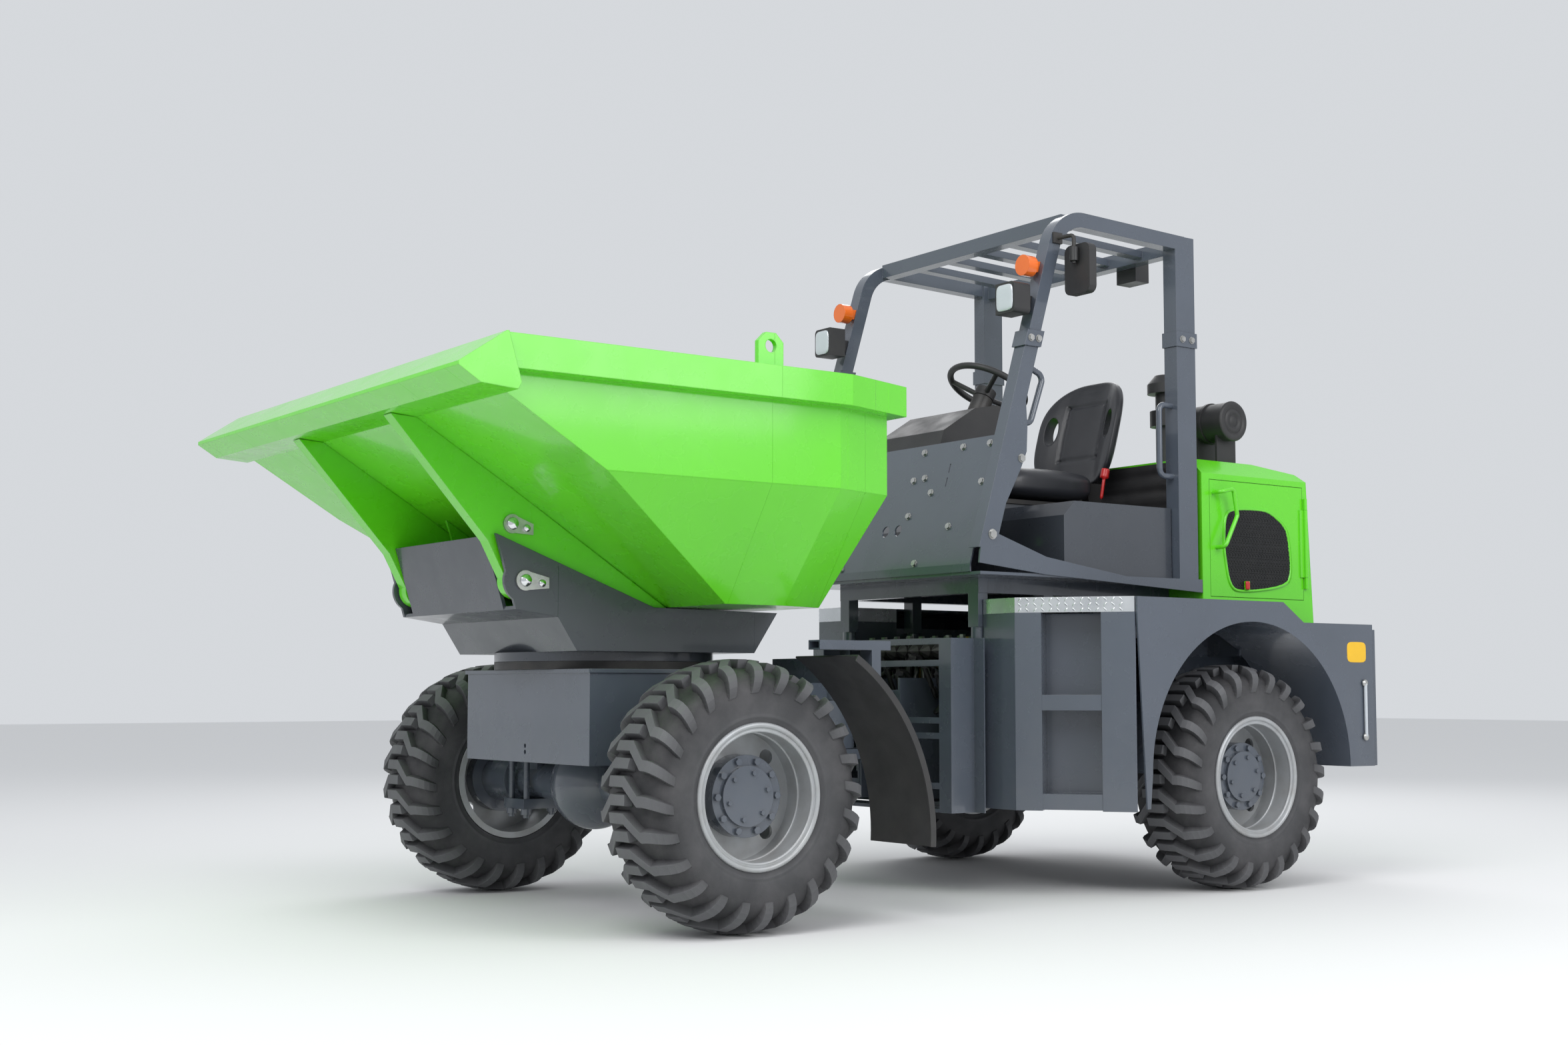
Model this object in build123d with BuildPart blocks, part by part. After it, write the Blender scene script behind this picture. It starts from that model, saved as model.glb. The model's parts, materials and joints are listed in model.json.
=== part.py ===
"""Articulated four-wheel-drive site dumper with a slewing, forward-tipping skip.

The front (skip end) points along -Y, the driver's left is +X, and Z is up from the ground.
The origin is on the ground, midway along and across the machine.
"""
from build123d import *
from math import atan2, cos, radians, sin
import os

os.makedirs("parts", exist_ok=True)

# ---------------------------------------------------------------- driving sizes (mm)
wheelbase = 2417.0
front_overhang = 1145.0       # front axle to the tip of the skip's lip
rear_overhang = 843.0         # rear axle to the back of the counterweight
track = 1703.0
tyre_radius = 450.0
tyre_width = 335.0
rim_seat_radius = 222.0
rim_flange_radius = 237.0
rim_half_width = 145.0
joint_from_front_axle = 1040.0
chassis_half_width = 1003.0   # outer face of the fenders and of the step boxes
rail_half_width = 450.0       # outer face of the rear frame rails
cab_half_width = 640.0
rops_top = 2730.0
hood_half_width = 640.0
hood_top = 1783.0
deck_top = 1154.0             # top of the fenders beside the driver
rear_deck_top = 1073.0
skip_half_width = 1050.0      # outside of the skip's upright side walls
skip_rim_top = 1850.0
skip_floor = 1085.0
skip_kink = 1470.0            # height where the sloping lower walls turn upright
skip_wall = 10.0
cradle_half_width = 445.0
sheet = 8.0                   # thickness of folded frame plate
running_gap = 0.05            # radial clearance of pins and shafts in their bores
seat_gap = 0.5                # gap between parts that move past each other closely

overall_length = front_overhang + wheelbase + rear_overhang
front_axle_y = -overall_length / 2 + front_overhang
rear_axle_y = front_axle_y + wheelbase
joint_y = front_axle_y + joint_from_front_axle
rear_end_y = overall_length / 2
axle_z = tyre_radius
wheel_x = track / 2
both_sides = (-1, 1)


# ---------------------------------------------------------------- shared shapes
def block(x, y, z, mode=Mode.ADD):
    """A rectangular block between two x values, two y values and two z values."""
    with Locations(((x[0] + x[1]) / 2, (y[0] + y[1]) / 2, (z[0] + z[1]) / 2)):
        Box(x[1] - x[0], y[1] - y[0], z[1] - z[0], mode=mode)


def span(side, inner, outer):
    """The x range between two distances from the middle, on one side of the machine."""
    return (min(side * inner, side * outer), max(side * inner, side * outer))


def plate_x(outline, x, mode=Mode.ADD):
    """A plate square to X, its outline given as (y, z) points."""
    with BuildSketch(Plane.YZ.offset(x[0])) as face:
        with BuildLine():
            Polyline(*outline, close=True)
        make_face()
    extrude(face.sketch, amount=x[1] - x[0], mode=mode)


def plate_y(outline, y, mode=Mode.ADD):
    """A plate square to Y, its outline given as (x, z) points."""
    with BuildSketch(Plane.XZ.offset(-y[1])) as face:
        with BuildLine():
            Polyline(*outline, close=True)
        make_face()
    extrude(face.sketch, amount=y[1] - y[0], mode=mode)


def plate_z(outline, z, mode=Mode.ADD):
    """A plate square to Z, its outline given as (x, y) points."""
    with BuildSketch(Plane.XY.offset(z[0])) as face:
        with BuildLine():
            Polyline(*outline, close=True)
        make_face()
    extrude(face.sketch, amount=z[1] - z[0], mode=mode)


def round_bar(start, end, radius, mode=Mode.ADD):
    """A round bar, or with SUBTRACT a round hole, between two points."""
    run = Vector(*end) - Vector(*start)
    with BuildSketch(Plane(origin=start, z_dir=run.normalized())) as face:
        Circle(radius)
    extrude(face.sketch, amount=run.length, mode=mode)


def disc_x(centre, radius, x, mode=Mode.ADD):
    """A disc square to X, about a centre given as (y, z)."""
    round_bar((x[0], *centre), (x[1], *centre), radius, mode)


def bent_bar(points, bend, radius):
    """A round bar along straight runs joined by arcs."""
    with BuildLine() as route:
        FilletPolyline(*points, radius=bend)
    first = Vector(*points[1]) - Vector(*points[0])
    with BuildSketch(Plane(origin=points[0], z_dir=first.normalized())) as face:
        Circle(radius)
    sweep(face.sketch, path=route.wires()[0])


def bolt_head(point, direction, across=24.0, height=10.0):
    """A hexagon bolt head with its washer, standing on a surface."""
    out = Vector(*direction).normalized()
    with BuildSketch(Plane(origin=point, z_dir=out)) as washer:
        Circle(across * 0.68)
    extrude(washer.sketch, amount=height * 0.3)
    with BuildSketch(Plane(origin=Vector(*point) + out * height * 0.3, z_dir=out)) as head:
        RegularPolygon(across / 2, 6, major_radius=False)
    extrude(head.sketch, amount=height * 0.7)


def save(built, name):
    """Label a finished piece and write it."""
    built.part.label = name
    export_step(built.part, f"parts/{name}.step")


def save_panels(built, name, cells):
    """Write a welded shell as the panels that boxes cut it into, which meet face to face along the cuts."""
    panels = []
    for x, y, z in cells:
        with BuildPart() as cell:
            block(x, y, z)
        shared = built.part.intersect(cell.part)
        panels += shared.solids() if shared is not None else []
    whole = Compound(panels)
    whole.label = name
    export_step(whole, f"parts/{name}.step")


def cells_between(x_cuts, y_cuts, z):
    """Boxes between cuts across and along the machine, mirrored left to right, in one height range."""
    far = 2 * wheelbase
    across = [-far, *(-x for x in reversed(x_cuts)), *x_cuts, far]
    along = [-far, *y_cuts, far]
    return [((x0, x1), (y0, y1), z) for x0, x1 in zip(across, across[1:]) for y0, y1 in zip(along, along[1:])]


# ---------------------------------------------------------------- wheels
hub_radius = 135.0
hub_face = 75.0               # hub face outboard of the wheel's centre plane
hub_back = -60.0
spindle_radius = 45.0
disc_thickness = 14.0
disc_back = -5.0
hand_hole_radius = 26.0
wheel_bolt_circle = 118.0
cover_radius = 100.0
rim_shell = 9.0


def tyre_profile():
    """The tyre's section as (distance outboard, radius), with a hollow of even wall."""
    half = tyre_width / 2
    bead = rim_half_width - 1
    return [(-bead, rim_seat_radius), (-bead, rim_flange_radius + 8), (-half, rim_flange_radius + 80),
                 (-half, tyre_radius - 55), (-half + 30, tyre_radius - 8), (-half + 55, tyre_radius),
                 (half - 55, tyre_radius), (half - 30, tyre_radius - 8), (half, tyre_radius - 55),
                 (half, rim_flange_radius + 80), (bead, rim_flange_radius + 8), (bead, rim_seat_radius),
                 (bead - 40, rim_seat_radius), (half - 22, rim_flange_radius + 75),
                 (half - 22, tyre_radius - 70), (half - 55, tyre_radius - 40), (-half + 55, tyre_radius - 40),
                 (-half + 22, tyre_radius - 70), (-half + 22, rim_flange_radius + 75),
                 (-bead + 40, rim_seat_radius)]


corners = [("front_left", 1, front_axle_y), ("front_right", -1, front_axle_y),
           ("rear_left", 1, rear_axle_y), ("rear_right", -1, rear_axle_y)]
for corner, side, wheel_y in corners:
    centre = (side * wheel_x, wheel_y, axle_z)
    section = Plane(origin=centre, x_dir=(side, 0, 0), z_dir=(0, -side, 0))
    axis = Axis(centre, (1, 0, 0))

    with BuildPart() as tyre:
        with BuildSketch(section):
            with BuildLine():
                Polyline(*tyre_profile(), close=True)
            make_face()
        revolve(axis=axis)
    save(tyre, f"tyre_{corner}")

    with BuildPart() as rim:
        with BuildSketch(section):
            with BuildLine():
                flange = rim_half_width + 6
                Polyline((-flange, rim_seat_radius - rim_shell), (-flange, rim_flange_radius),
                         (-rim_half_width, rim_flange_radius), (-rim_half_width, rim_seat_radius),
                         (rim_half_width, rim_seat_radius), (rim_half_width, rim_flange_radius),
                         (flange, rim_flange_radius), (flange, rim_seat_radius - rim_shell), close=True)
            make_face()
            with BuildLine():
                Polyline((disc_back, hub_radius), (disc_back, rim_seat_radius - rim_shell),
                         (disc_back + disc_thickness, rim_seat_radius - rim_shell),
                         (disc_back + disc_thickness, hub_radius), close=True)
            make_face()
        revolve(axis=axis)
        with BuildSketch(Plane(origin=centre, x_dir=(0, 1, 0), z_dir=(side, 0, 0)).offset(disc_back - 1)):
            with PolarLocations((hub_radius + rim_seat_radius - rim_shell) / 2, 4, start_angle=45):
                Circle(hand_hole_radius)
        extrude(amount=disc_thickness + 2, mode=Mode.SUBTRACT)
    save(rim, f"rim_{corner}")

    with BuildPart() as hub:
        outward = Plane(origin=centre, x_dir=(0, 1, 0), z_dir=(side, 0, 0))
        with BuildSketch(outward.offset(hub_back)):
            Circle(hub_radius)
        extrude(amount=hub_face - hub_back)
        with BuildSketch(outward.offset(hub_face)):
            Circle(cover_radius)
        extrude(amount=12)
        with BuildSketch(outward.offset(hub_back)):
            Circle(spindle_radius + running_gap)
        extrude(amount=(hub_face - hub_back) * 0.7, mode=Mode.SUBTRACT)
        with BuildSketch(outward.offset(hub_face)):
            with PolarLocations(wheel_bolt_circle, 10):
                RegularPolygon(11, 6, major_radius=False)
        extrude(amount=12)
        with BuildSketch(outward.offset(hub_face + 12)):
            with PolarLocations(cover_radius * 0.78, 6, start_angle=15):
                RegularPolygon(8, 6, major_radius=False)
        extrude(amount=8)
    save(hub, f"hub_{corner}")

# ---------------------------------------------------------------- axles
axle_tube_radius = 70.0
axle_end_radius = 95.0
axle_end = wheel_x + hub_back - seat_gap      # where the housing stops, just short of the hub
diff_radius = 165.0
diff_x = -60.0
clamp_x = 488.0
clamp_half = 80.0
spindle_reach = (hub_face - hub_back) * 0.7 - 8
stud_radius = 12.0
pad_thickness = 20.0
front_box_bottom = axle_z + axle_tube_radius + pad_thickness


def axle_housing(y, nose_side):
    """Axle tube with a differential housing, a drive nose, wheel ends and spindles."""
    round_bar((-axle_end, y, axle_z), (axle_end, y, axle_z), axle_tube_radius)
    for side in both_sides:
        round_bar((side * (axle_end - 190), y, axle_z), (side * axle_end, y, axle_z), axle_end_radius)
        start = side * (axle_end - 1)
        round_bar((start, y, axle_z), (side * (axle_end + spindle_reach), y, axle_z), spindle_radius)
    with Locations((diff_x, y, axle_z)):
        Sphere(diff_radius)
    nose_end = y + nose_side * (diff_radius + 60)
    round_bar((diff_x, y, axle_z), (diff_x, nose_end, axle_z), 75)
    round_bar((diff_x, nose_end - nose_side, axle_z), (diff_x, nose_end + nose_side * 22, axle_z), 62)


with BuildPart() as front_axle:
    axle_housing(front_axle_y, 1)
    for side in both_sides:
        block(span(side, clamp_x - clamp_half, clamp_x + clamp_half), (front_axle_y - 55, front_axle_y + 55),
              (axle_z + 30, axle_z + axle_tube_radius + pad_thickness))
        block(span(side, clamp_x - clamp_half, clamp_x + clamp_half), (front_axle_y - 110, front_axle_y + 110),
              (axle_z - axle_tube_radius - 36, axle_z - axle_tube_radius + 2))
        for across in both_sides:
            for along in both_sides:
                stud_x = side * clamp_x + across * 60
                stud_y = front_axle_y + along * 88
                round_bar((stud_x, stud_y, axle_z - axle_tube_radius - 70),
                          (stud_x, stud_y, front_box_bottom), stud_radius)
                round_bar((stud_x, stud_y, axle_z - axle_tube_radius - 58),
                          (stud_x, stud_y, axle_z - axle_tube_radius - 35), stud_radius * 1.7)
save(front_axle, "front_axle")

# ---------------------------------------------------------------- front frame
front_box_half = 460.0
front_box_top = 869.0
front_box_front = front_axle_y - 323
front_box_rear = front_axle_y + 420
neck_half = 300.0
neck_rear = joint_y - 240
slew_bolt_circle = 350.0
oscillation_z = 660.0
swivel_radius = 60.0
mudguard_centre = (front_axle_y + 11, 295.0)
mudguard_radius = 737.0
mudguard_x = (640.0, 1000.0)
outrigger_y = (front_axle_y + 560, front_axle_y + 600)
outrigger_top = 912.0
channel_x = (815.0, 880.0)
channel_y = (front_axle_y + 334, front_axle_y + 644)
channel_z = (935.0, 968.0)
steer_pin_x = -220.0
steer_z = 520.0

with BuildPart() as front_frame:
    front_z = (front_box_bottom, front_box_top)
    block((-front_box_half, front_box_half), (front_box_front, front_box_rear), front_z)
    block((-front_box_half + 12, front_box_half - 12), (front_box_front + 12, front_box_rear - 12),
          (front_z[0] + 16, front_z[1] - 20), mode=Mode.SUBTRACT)
    block((-front_box_half - 9, front_box_half + 9), (front_box_front - 8, front_box_rear + 4),
          (front_box_top - 14, front_box_top))
    for side in both_sides:
        plate_z([(side * front_box_half, front_box_rear), (side * neck_half, neck_rear),
                 (side * (neck_half - 16), neck_rear), (side * (front_box_half - 30), front_box_rear)],
                (front_box_bottom + 20, front_box_top - 14))
    for z in ((front_box_bottom + 20, front_box_bottom + 34), (front_box_top - 28, front_box_top - 14)):
        plate_z([(-front_box_half, front_box_rear - 1), (front_box_half, front_box_rear - 1),
                 (neck_half, neck_rear), (-neck_half, neck_rear)], z)
    block((-neck_half, neck_half), (neck_rear - 30, neck_rear), (front_box_bottom + 20, front_box_top - 14))
    block((-110, 110), (neck_rear - 130, neck_rear), (oscillation_z - 100, oscillation_z + 100))
    round_bar((0, neck_rear - 131, oscillation_z), (0, neck_rear + 1, oscillation_z),
              swivel_radius + running_gap, mode=Mode.SUBTRACT)
    for side in both_sides:
        block(span(side, neck_half - 20, channel_x[1]), outrigger_y, (outrigger_top - 90, outrigger_top))
        block(span(side, channel_x[0], channel_x[1]), (outrigger_y[0], outrigger_y[1]),
              (outrigger_top - 1, channel_z[0] + 1))
        seat = [(mudguard_centre[0] + (mudguard_radius + 0.3) * cos(radians(angle)),
                 mudguard_centre[1] + (mudguard_radius + 0.3) * sin(radians(angle))) for angle in range(54, 42, -2)]
        for x in (700.0, 790.0):
            plate_x([(outrigger_y[0] + 1, outrigger_top - 60), (outrigger_y[0] + 1, outrigger_top - 8)] + seat,
                    span(side, x, x + 8))
        block(span(side, *channel_x), channel_y, channel_z)
        block(span(side, channel_x[0] + 6, channel_x[1] - 6), (channel_y[0] - 1, channel_y[1] + 1),
              (channel_z[0] + 6, channel_z[1] - 6), mode=Mode.SUBTRACT)
    with Locations((diff_x, front_axle_y, axle_z)):
        Sphere(diff_radius + 12, mode=Mode.SUBTRACT)
    for z in (front_box_bottom + 36, front_box_bottom + 58):
        round_bar((0, front_box_front - 1, z), (0, front_box_front + 13, z), 8, mode=Mode.SUBTRACT)
save(front_frame, "front_frame")

with BuildPart() as mudguards:
    for side in both_sides:
        with BuildSketch(Plane.YZ.offset(min(side * mudguard_x[0], side * mudguard_x[1]))):
            with BuildLine():
                outer = CenterArc(mudguard_centre, mudguard_radius, -3.2, 60.6)
                inner = CenterArc(mudguard_centre, mudguard_radius - 6, -3.2, 60.6)
                Line(outer @ 0, inner @ 0)
                Line(outer @ 1, inner @ 1)
            make_face()
        extrude(amount=mudguard_x[1] - mudguard_x[0])
        with BuildSketch(Plane.YZ.offset(side * mudguard_x[1] - (6 if side > 0 else 0))):
            with BuildLine():
                outer = CenterArc(mudguard_centre, mudguard_radius - 5, -3.2, 60.6)
                inner = CenterArc(mudguard_centre, mudguard_radius - 24, -3.2, 60.6)
                Line(outer @ 0, inner @ 0)
                Line(outer @ 1, inner @ 1)
            make_face()
        extrude(amount=6)
save(mudguards, "front_mudguards")

slew_outer = 400.0
slew_inner = 320.0
slew_split = 897.0
cradle_floor = 925.0

with BuildPart() as slew_ring:
    with BuildSketch(Plane.XY.offset(front_box_top)):
        with Locations((0, front_axle_y)):
            Circle(slew_outer)
            Circle(slew_inner, mode=Mode.SUBTRACT)
    extrude(amount=slew_split - front_box_top)
    with BuildSketch(Plane.XY.offset(front_box_top)):
        with Locations((0, front_axle_y)):
            Circle(slew_inner + 1)
            Circle(slew_inner - 30, mode=Mode.SUBTRACT)
    extrude(amount=cradle_floor - 3 - front_box_top)
save(slew_ring, "slew_ring")

# ---------------------------------------------------------------- centre knuckle
knuckle_half = 95.0
knuckle_z = (oscillation_z - 95, oscillation_z + 95)
centre_pin_radius = 35.0
lug_gap = 2.0
lug_half = 90.0
lug_thickness = 40.0

with BuildPart() as knuckle:
    round_bar((0, neck_rear - 125, oscillation_z), (0, neck_rear + 30, oscillation_z), swivel_radius)
    round_bar((0, neck_rear + 1, oscillation_z), (0, neck_rear + 30, oscillation_z), 120)
    block((-knuckle_half, knuckle_half), (neck_rear + 25, joint_y), knuckle_z)
    round_bar((0, joint_y, knuckle_z[0]), (0, joint_y, knuckle_z[1]), knuckle_half)
    arm_z = (steer_z - 60, steer_z - 32)
    block((-knuckle_half - 30, -knuckle_half + 1), (joint_y - 135, joint_y - 45), (arm_z[0], oscillation_z - 20))
    block((steer_pin_x - 45, -knuckle_half), (joint_y - 135, joint_y - 45), arm_z)
    pin_top = knuckle_z[1] + lug_gap + lug_thickness
    round_bar((0, joint_y, knuckle_z[0] - lug_gap - lug_thickness), (0, joint_y, pin_top + 2), centre_pin_radius)
    round_bar((0, joint_y, pin_top + 1), (0, joint_y, pin_top + 14), 55)
save(knuckle, "centre_knuckle")

# ---------------------------------------------------------------- rear frame
cage_front = joint_y + 250
cage_rear = cage_front + 145
frame_bottom = 335.0
rail_top = 1000.0
rail_break_y = rear_axle_y - 560
rear_rail_bottom = 560.0
bumper_front = rear_end_y - 90
arch_radius = 592.0
arch_z = 478.0
steer_lug_y = joint_y + 400

with BuildPart() as rear_frame:
    for side in both_sides:
        plate_x([(cage_rear, frame_bottom), (rail_break_y, frame_bottom), (rail_break_y + 260, rear_rail_bottom),
                 (bumper_front, rear_rail_bottom), (bumper_front, rail_top), (cage_rear, rail_top)],
                span(side, rail_half_width - 14, rail_half_width))
        block(span(side, 120, 134), (cage_front + 2, cage_rear + 160), (frame_bottom + 20, knuckle_z[1] + 90))
    inner = rail_half_width - 13
    block((-inner, inner), (cage_rear, rail_break_y), (frame_bottom, frame_bottom + 12))
    block((-inner, inner), (cage_rear + 140, cage_rear + 156), (frame_bottom, knuckle_z[1] + 90))
    block((-inner, inner), (rear_axle_y - 330, rear_axle_y - 314), (rear_rail_bottom, rail_top))
    block((-inner, inner), (bumper_front - 16, bumper_front), (rear_rail_bottom, rail_top))
    for z in ((knuckle_z[1] + lug_gap, knuckle_z[1] + lug_gap + lug_thickness),
              (knuckle_z[0] - lug_gap - lug_thickness, knuckle_z[0] - lug_gap)):
        block((-lug_half, lug_half), (joint_y, cage_front + 3), z)
        block((-121, 121), (cage_front + 2, cage_rear + 141), z)
        round_bar((0, joint_y, z[0]), (0, joint_y, z[1]), lug_half)
        round_bar((0, joint_y, z[0] - 1), (0, joint_y, z[1] + 1), centre_pin_radius + running_gap,
                  mode=Mode.SUBTRACT)
    for side in both_sides:
        for y in (rear_axle_y - 140, rear_axle_y + 140):
            block((-inner, inner), (y - 12, y + 12), (rear_rail_bottom, rear_rail_bottom + 90))
        block(span(side, rail_half_width - 110, rail_half_width - 1), (rear_axle_y - 152, rear_axle_y + 152),
              (axle_z + axle_tube_radius, rear_rail_bottom + 14))
    steer_block = (steer_pin_x - 50, steer_pin_x + 50)
    block(steer_block, (steer_lug_y - 60, cage_rear + 141), (steer_z - 62, steer_z - 38))
    block(steer_block, (steer_lug_y - 60, cage_rear + 141), (steer_z + 38, steer_z + 62))
    for z in (steer_z - 62, steer_z + 38):
        round_bar((steer_pin_x, steer_lug_y, z - 1), (steer_pin_x, steer_lug_y, z + 25), 20 + running_gap,
                  mode=Mode.SUBTRACT)
save(rear_frame, "rear_frame")

# ---------------------------------------------------------------- rear axle and drive shaft
gearbox_y = (cage_rear + 165, cage_rear + 165 + 280)
gearbox_z = (420.0, 960.0)

with BuildPart() as rear_axle:
    axle_housing(rear_axle_y, -1)
    for side in both_sides:
        block(span(side, rail_half_width - 110, rail_half_width + 20), (rear_axle_y - 60, rear_axle_y + 60),
              (axle_z + 30, axle_z + axle_tube_radius))
    shaft_front = gearbox_y[1] + seat_gap
    shaft_rear = rear_axle_y - diff_radius - 60 - 21
    round_bar((diff_x, shaft_front, axle_z), (diff_x, shaft_front + 20, axle_z), 55)
    round_bar((diff_x, shaft_front + 19, axle_z), (diff_x, shaft_rear, axle_z), 34)
    round_bar((diff_x, shaft_rear - 20, axle_z), (diff_x, shaft_rear, axle_z), 55)
save(rear_axle, "rear_axle")

# ---------------------------------------------------------------- fenders, step boxes and cage
fender_front = rear_axle_y - 667
fender_slope = (rear_axle_y + 181, rear_axle_y + 308)
fender_foot = 344.0
fender_rear_foot = 477.0
liner_inner = 620.0

with BuildPart() as fenders:
    for side in both_sides:
        with BuildSketch(Plane.YZ.offset(min(side * (chassis_half_width - sheet), side * chassis_half_width))):
            with BuildLine():
                arch = CenterArc((rear_axle_y, arch_z), arch_radius, 0, 180)
                Polyline(arch @ 1, (fender_front + 62, fender_foot), (fender_front + 44, fender_foot),
                         (fender_front, deck_top - 60), (fender_front, deck_top), (fender_slope[0], deck_top),
                         (fender_slope[1], rear_deck_top), (bumper_front, rear_deck_top),
                         (bumper_front, fender_rear_foot), arch @ 0)
            make_face()
        extrude(amount=sheet)
        liner_x = span(side, liner_inner, chassis_half_width - 1)
        with BuildSketch(Plane.YZ.offset(liner_x[0])):
            with BuildLine():
                low = CenterArc((rear_axle_y, arch_z), arch_radius, 0, 180)
                high = CenterArc((rear_axle_y, arch_z), arch_radius + 5, 0, 180)
                Line(low @ 0, high @ 0)
                Line(low @ 1, high @ 1)
            make_face()
        extrude(amount=liner_x[1] - liner_x[0])
        plate_x([(fender_front, deck_top - sheet), (fender_slope[0] - 3, deck_top - sheet),
                 (fender_slope[1] - 3, rear_deck_top - sheet), (bumper_front, rear_deck_top - sheet),
                 (bumper_front, rear_deck_top), (fender_slope[1], rear_deck_top), (fender_slope[0], deck_top),
                 (fender_front, deck_top)], span(side, rail_half_width + seat_gap, chassis_half_width - 1))
        block(span(side, rail_half_width, chassis_half_width - 1), (bumper_front - sheet, bumper_front),
              (fender_rear_foot + 90, rear_deck_top - 1))
        for y in (rear_axle_y - 380, rear_axle_y + 330):
            block(span(side, rail_half_width, liner_inner + 20), (y, y + 10), (rail_top - 60, rear_deck_top - 5))
        block(span(side, rail_half_width, rail_half_width + 10), (fender_front, bumper_front - 1),
              (rail_top - 60, rear_deck_top - 5))
save(fenders, "fenders")

step_front = joint_y + 418
step_top = deck_top - 59
step_inner = 634.0
step_back = fender_front - seat_gap
diagonal = Vector(chassis_half_width - step_inner, fender_front - step_front)
face_length = diagonal.length
recess = (103.0, 332.0)
recess_depth = 135.0
rung_height = 60.0
upper_rung_top = 778.0


def across_face(side, along, inward):
    """The plan position of a point along a step box's slanting face and inward from it."""
    ahead = diagonal.normalized()
    x = step_inner + ahead.X * along - ahead.Y * inward
    return (side * x, step_front + ahead.Y * along + ahead.X * inward)


def step_outline(side, wall):
    """The plan outline of a step box, taken in by a wall's thickness."""
    nose = across_face(side, wall * 0.35, wall)
    heel = across_face(side, face_length - 12 - wall * 2, wall)
    return [(side * (rail_half_width + 2 + wall), step_front + wall), (nose[0], step_front + wall), heel,
            (heel[0], step_back - wall), (side * (rail_half_width + 2 + wall), step_back - wall)]


with BuildPart() as step_boxes:
    for side in both_sides:
        plate_z(step_outline(side, 0), (frame_bottom, step_top))
        plate_z(step_outline(side, 6), (frame_bottom + 6, step_top + 1), mode=Mode.SUBTRACT)
        liner = [across_face(side, recess[0] - 6, 2), across_face(side, recess[1] + 6, 2),
                 across_face(side, recess[1] + 6, recess_depth + 6),
                 across_face(side, recess[0] - 6, recess_depth + 6)]
        plate_z(liner, (frame_bottom, step_top))
        pocket = [across_face(side, recess[0], -5), across_face(side, recess[1], -5),
                  across_face(side, recess[1], recess_depth), across_face(side, recess[0], recess_depth)]
        plate_z(pocket, (frame_bottom - 1, step_top + 1), mode=Mode.SUBTRACT)
        for top in (upper_rung_top, frame_bottom + rung_height + 4):
            rung = [across_face(side, recess[0] - 2, 2), across_face(side, recess[1] + 2, 2),
                    across_face(side, recess[1] + 2, recess_depth + 2),
                    across_face(side, recess[0] - 2, recess_depth + 2)]
            plate_z(rung, (top - 4, top))
            lip = [across_face(side, recess[0] - 2, 2), across_face(side, recess[1] + 2, 2),
                   across_face(side, recess[1] + 2, 8), across_face(side, recess[0] - 2, 8)]
            plate_z(lip, (top - rung_height, top - 3))
save(step_boxes, "step_boxes")

with BuildPart() as step_covers:
    for side in both_sides:
        plate_z(step_outline(side, 0), (step_top, deck_top))
        plate_z(step_outline(side, 5), (step_top - 1, deck_top - 5), mode=Mode.SUBTRACT)
save(step_covers, "step_covers")

cage_post = 72.0
cage_inner = rail_half_width - cage_post
cage_z = (319.0, rail_top)

with BuildPart() as cage:
    for side in both_sides:
        post_x = span(side, cage_inner, rail_half_width)
        block(post_x, (cage_front, cage_rear - seat_gap), cage_z)
        block(span(side, cage_inner - 1, rail_half_width - 6), (cage_front + 6, cage_rear - 8),
              (cage_z[0] + 8, cage_z[1] - 8), mode=Mode.SUBTRACT)
        block(span(side, rail_half_width - 1, rail_half_width + 58), (cage_rear - 26, cage_rear - 20), cage_z)
        for z in (410, 605, 665):
            block(span(side, 134 + seat_gap, cage_inner + 4), (cage_front, cage_front + 12), (z, z + 24))
        for z in (410, 665):
            block(span(side, 134 + seat_gap, 142), (cage_front, cage_front + 12), (z, 700))
    for z in (890, 976):
        block((-cage_inner - 4, cage_inner + 4), (cage_front, cage_front + 14), (z, z + 25))
    block((-cage_inner - 4, cage_inner + 4), (cage_front, cage_rear - 12), (cage_z[0], cage_z[0] + 14))
save(cage, "bulkhead_cage")

tow_pin_radius = 18.0
tow_bore_radius = 20.0
tow_lug = (560.0, 590.0)
tow_gap = 70.0

with BuildPart() as counterweight:
    block((-chassis_half_width + 30, chassis_half_width - 30), (bumper_front + seat_gap, rear_end_y),
          (fender_rear_foot, rear_deck_top - 20))
    chamfer(counterweight.edges().filter_by(Axis.Z).group_by(Axis.Y)[-1], 35)
    slot_z = (tow_lug[1], tow_lug[1] + tow_gap)
    block((-75, 75), (rear_end_y - 75, rear_end_y + 1), slot_z, mode=Mode.SUBTRACT)
    round_bar((0, rear_end_y - 38, slot_z[0] - 60), (0, rear_end_y - 38, slot_z[1] + 60), tow_bore_radius,
              mode=Mode.SUBTRACT)
    for side in both_sides:
        block(span(side, 640, 830), (rear_end_y - 12, rear_end_y + 1), (880, 960), mode=Mode.SUBTRACT)
save(counterweight, "rear_counterweight")

# ---------------------------------------------------------------- power unit
engine_x = (-230.0, 230.0)
engine_y = (rear_axle_y + 143, rear_axle_y + 620)

with BuildPart() as gearbox:
    block((-160, 110), gearbox_y, (gearbox_z[0] + 60, gearbox_z[1]))
    fillet(gearbox.edges().filter_by(Axis.Y), 45)
    round_bar((diff_x, gearbox_y[0] + 20, axle_z), (diff_x, gearbox_y[1], axle_z), 100)
    round_bar((diff_x, gearbox_y[0] - 4, 780), (diff_x, gearbox_y[0] + 5, 780), 90)
    round_bar((60, gearbox_y[0] + 140, gearbox_z[1] - 2), (60, gearbox_y[0] + 140, gearbox_z[1] + 60), 30)
    block((1 - inner, inner - 1), (gearbox_y[0] + 90, gearbox_y[0] + 150), (560, 590))
save(gearbox, "gearbox")

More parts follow.
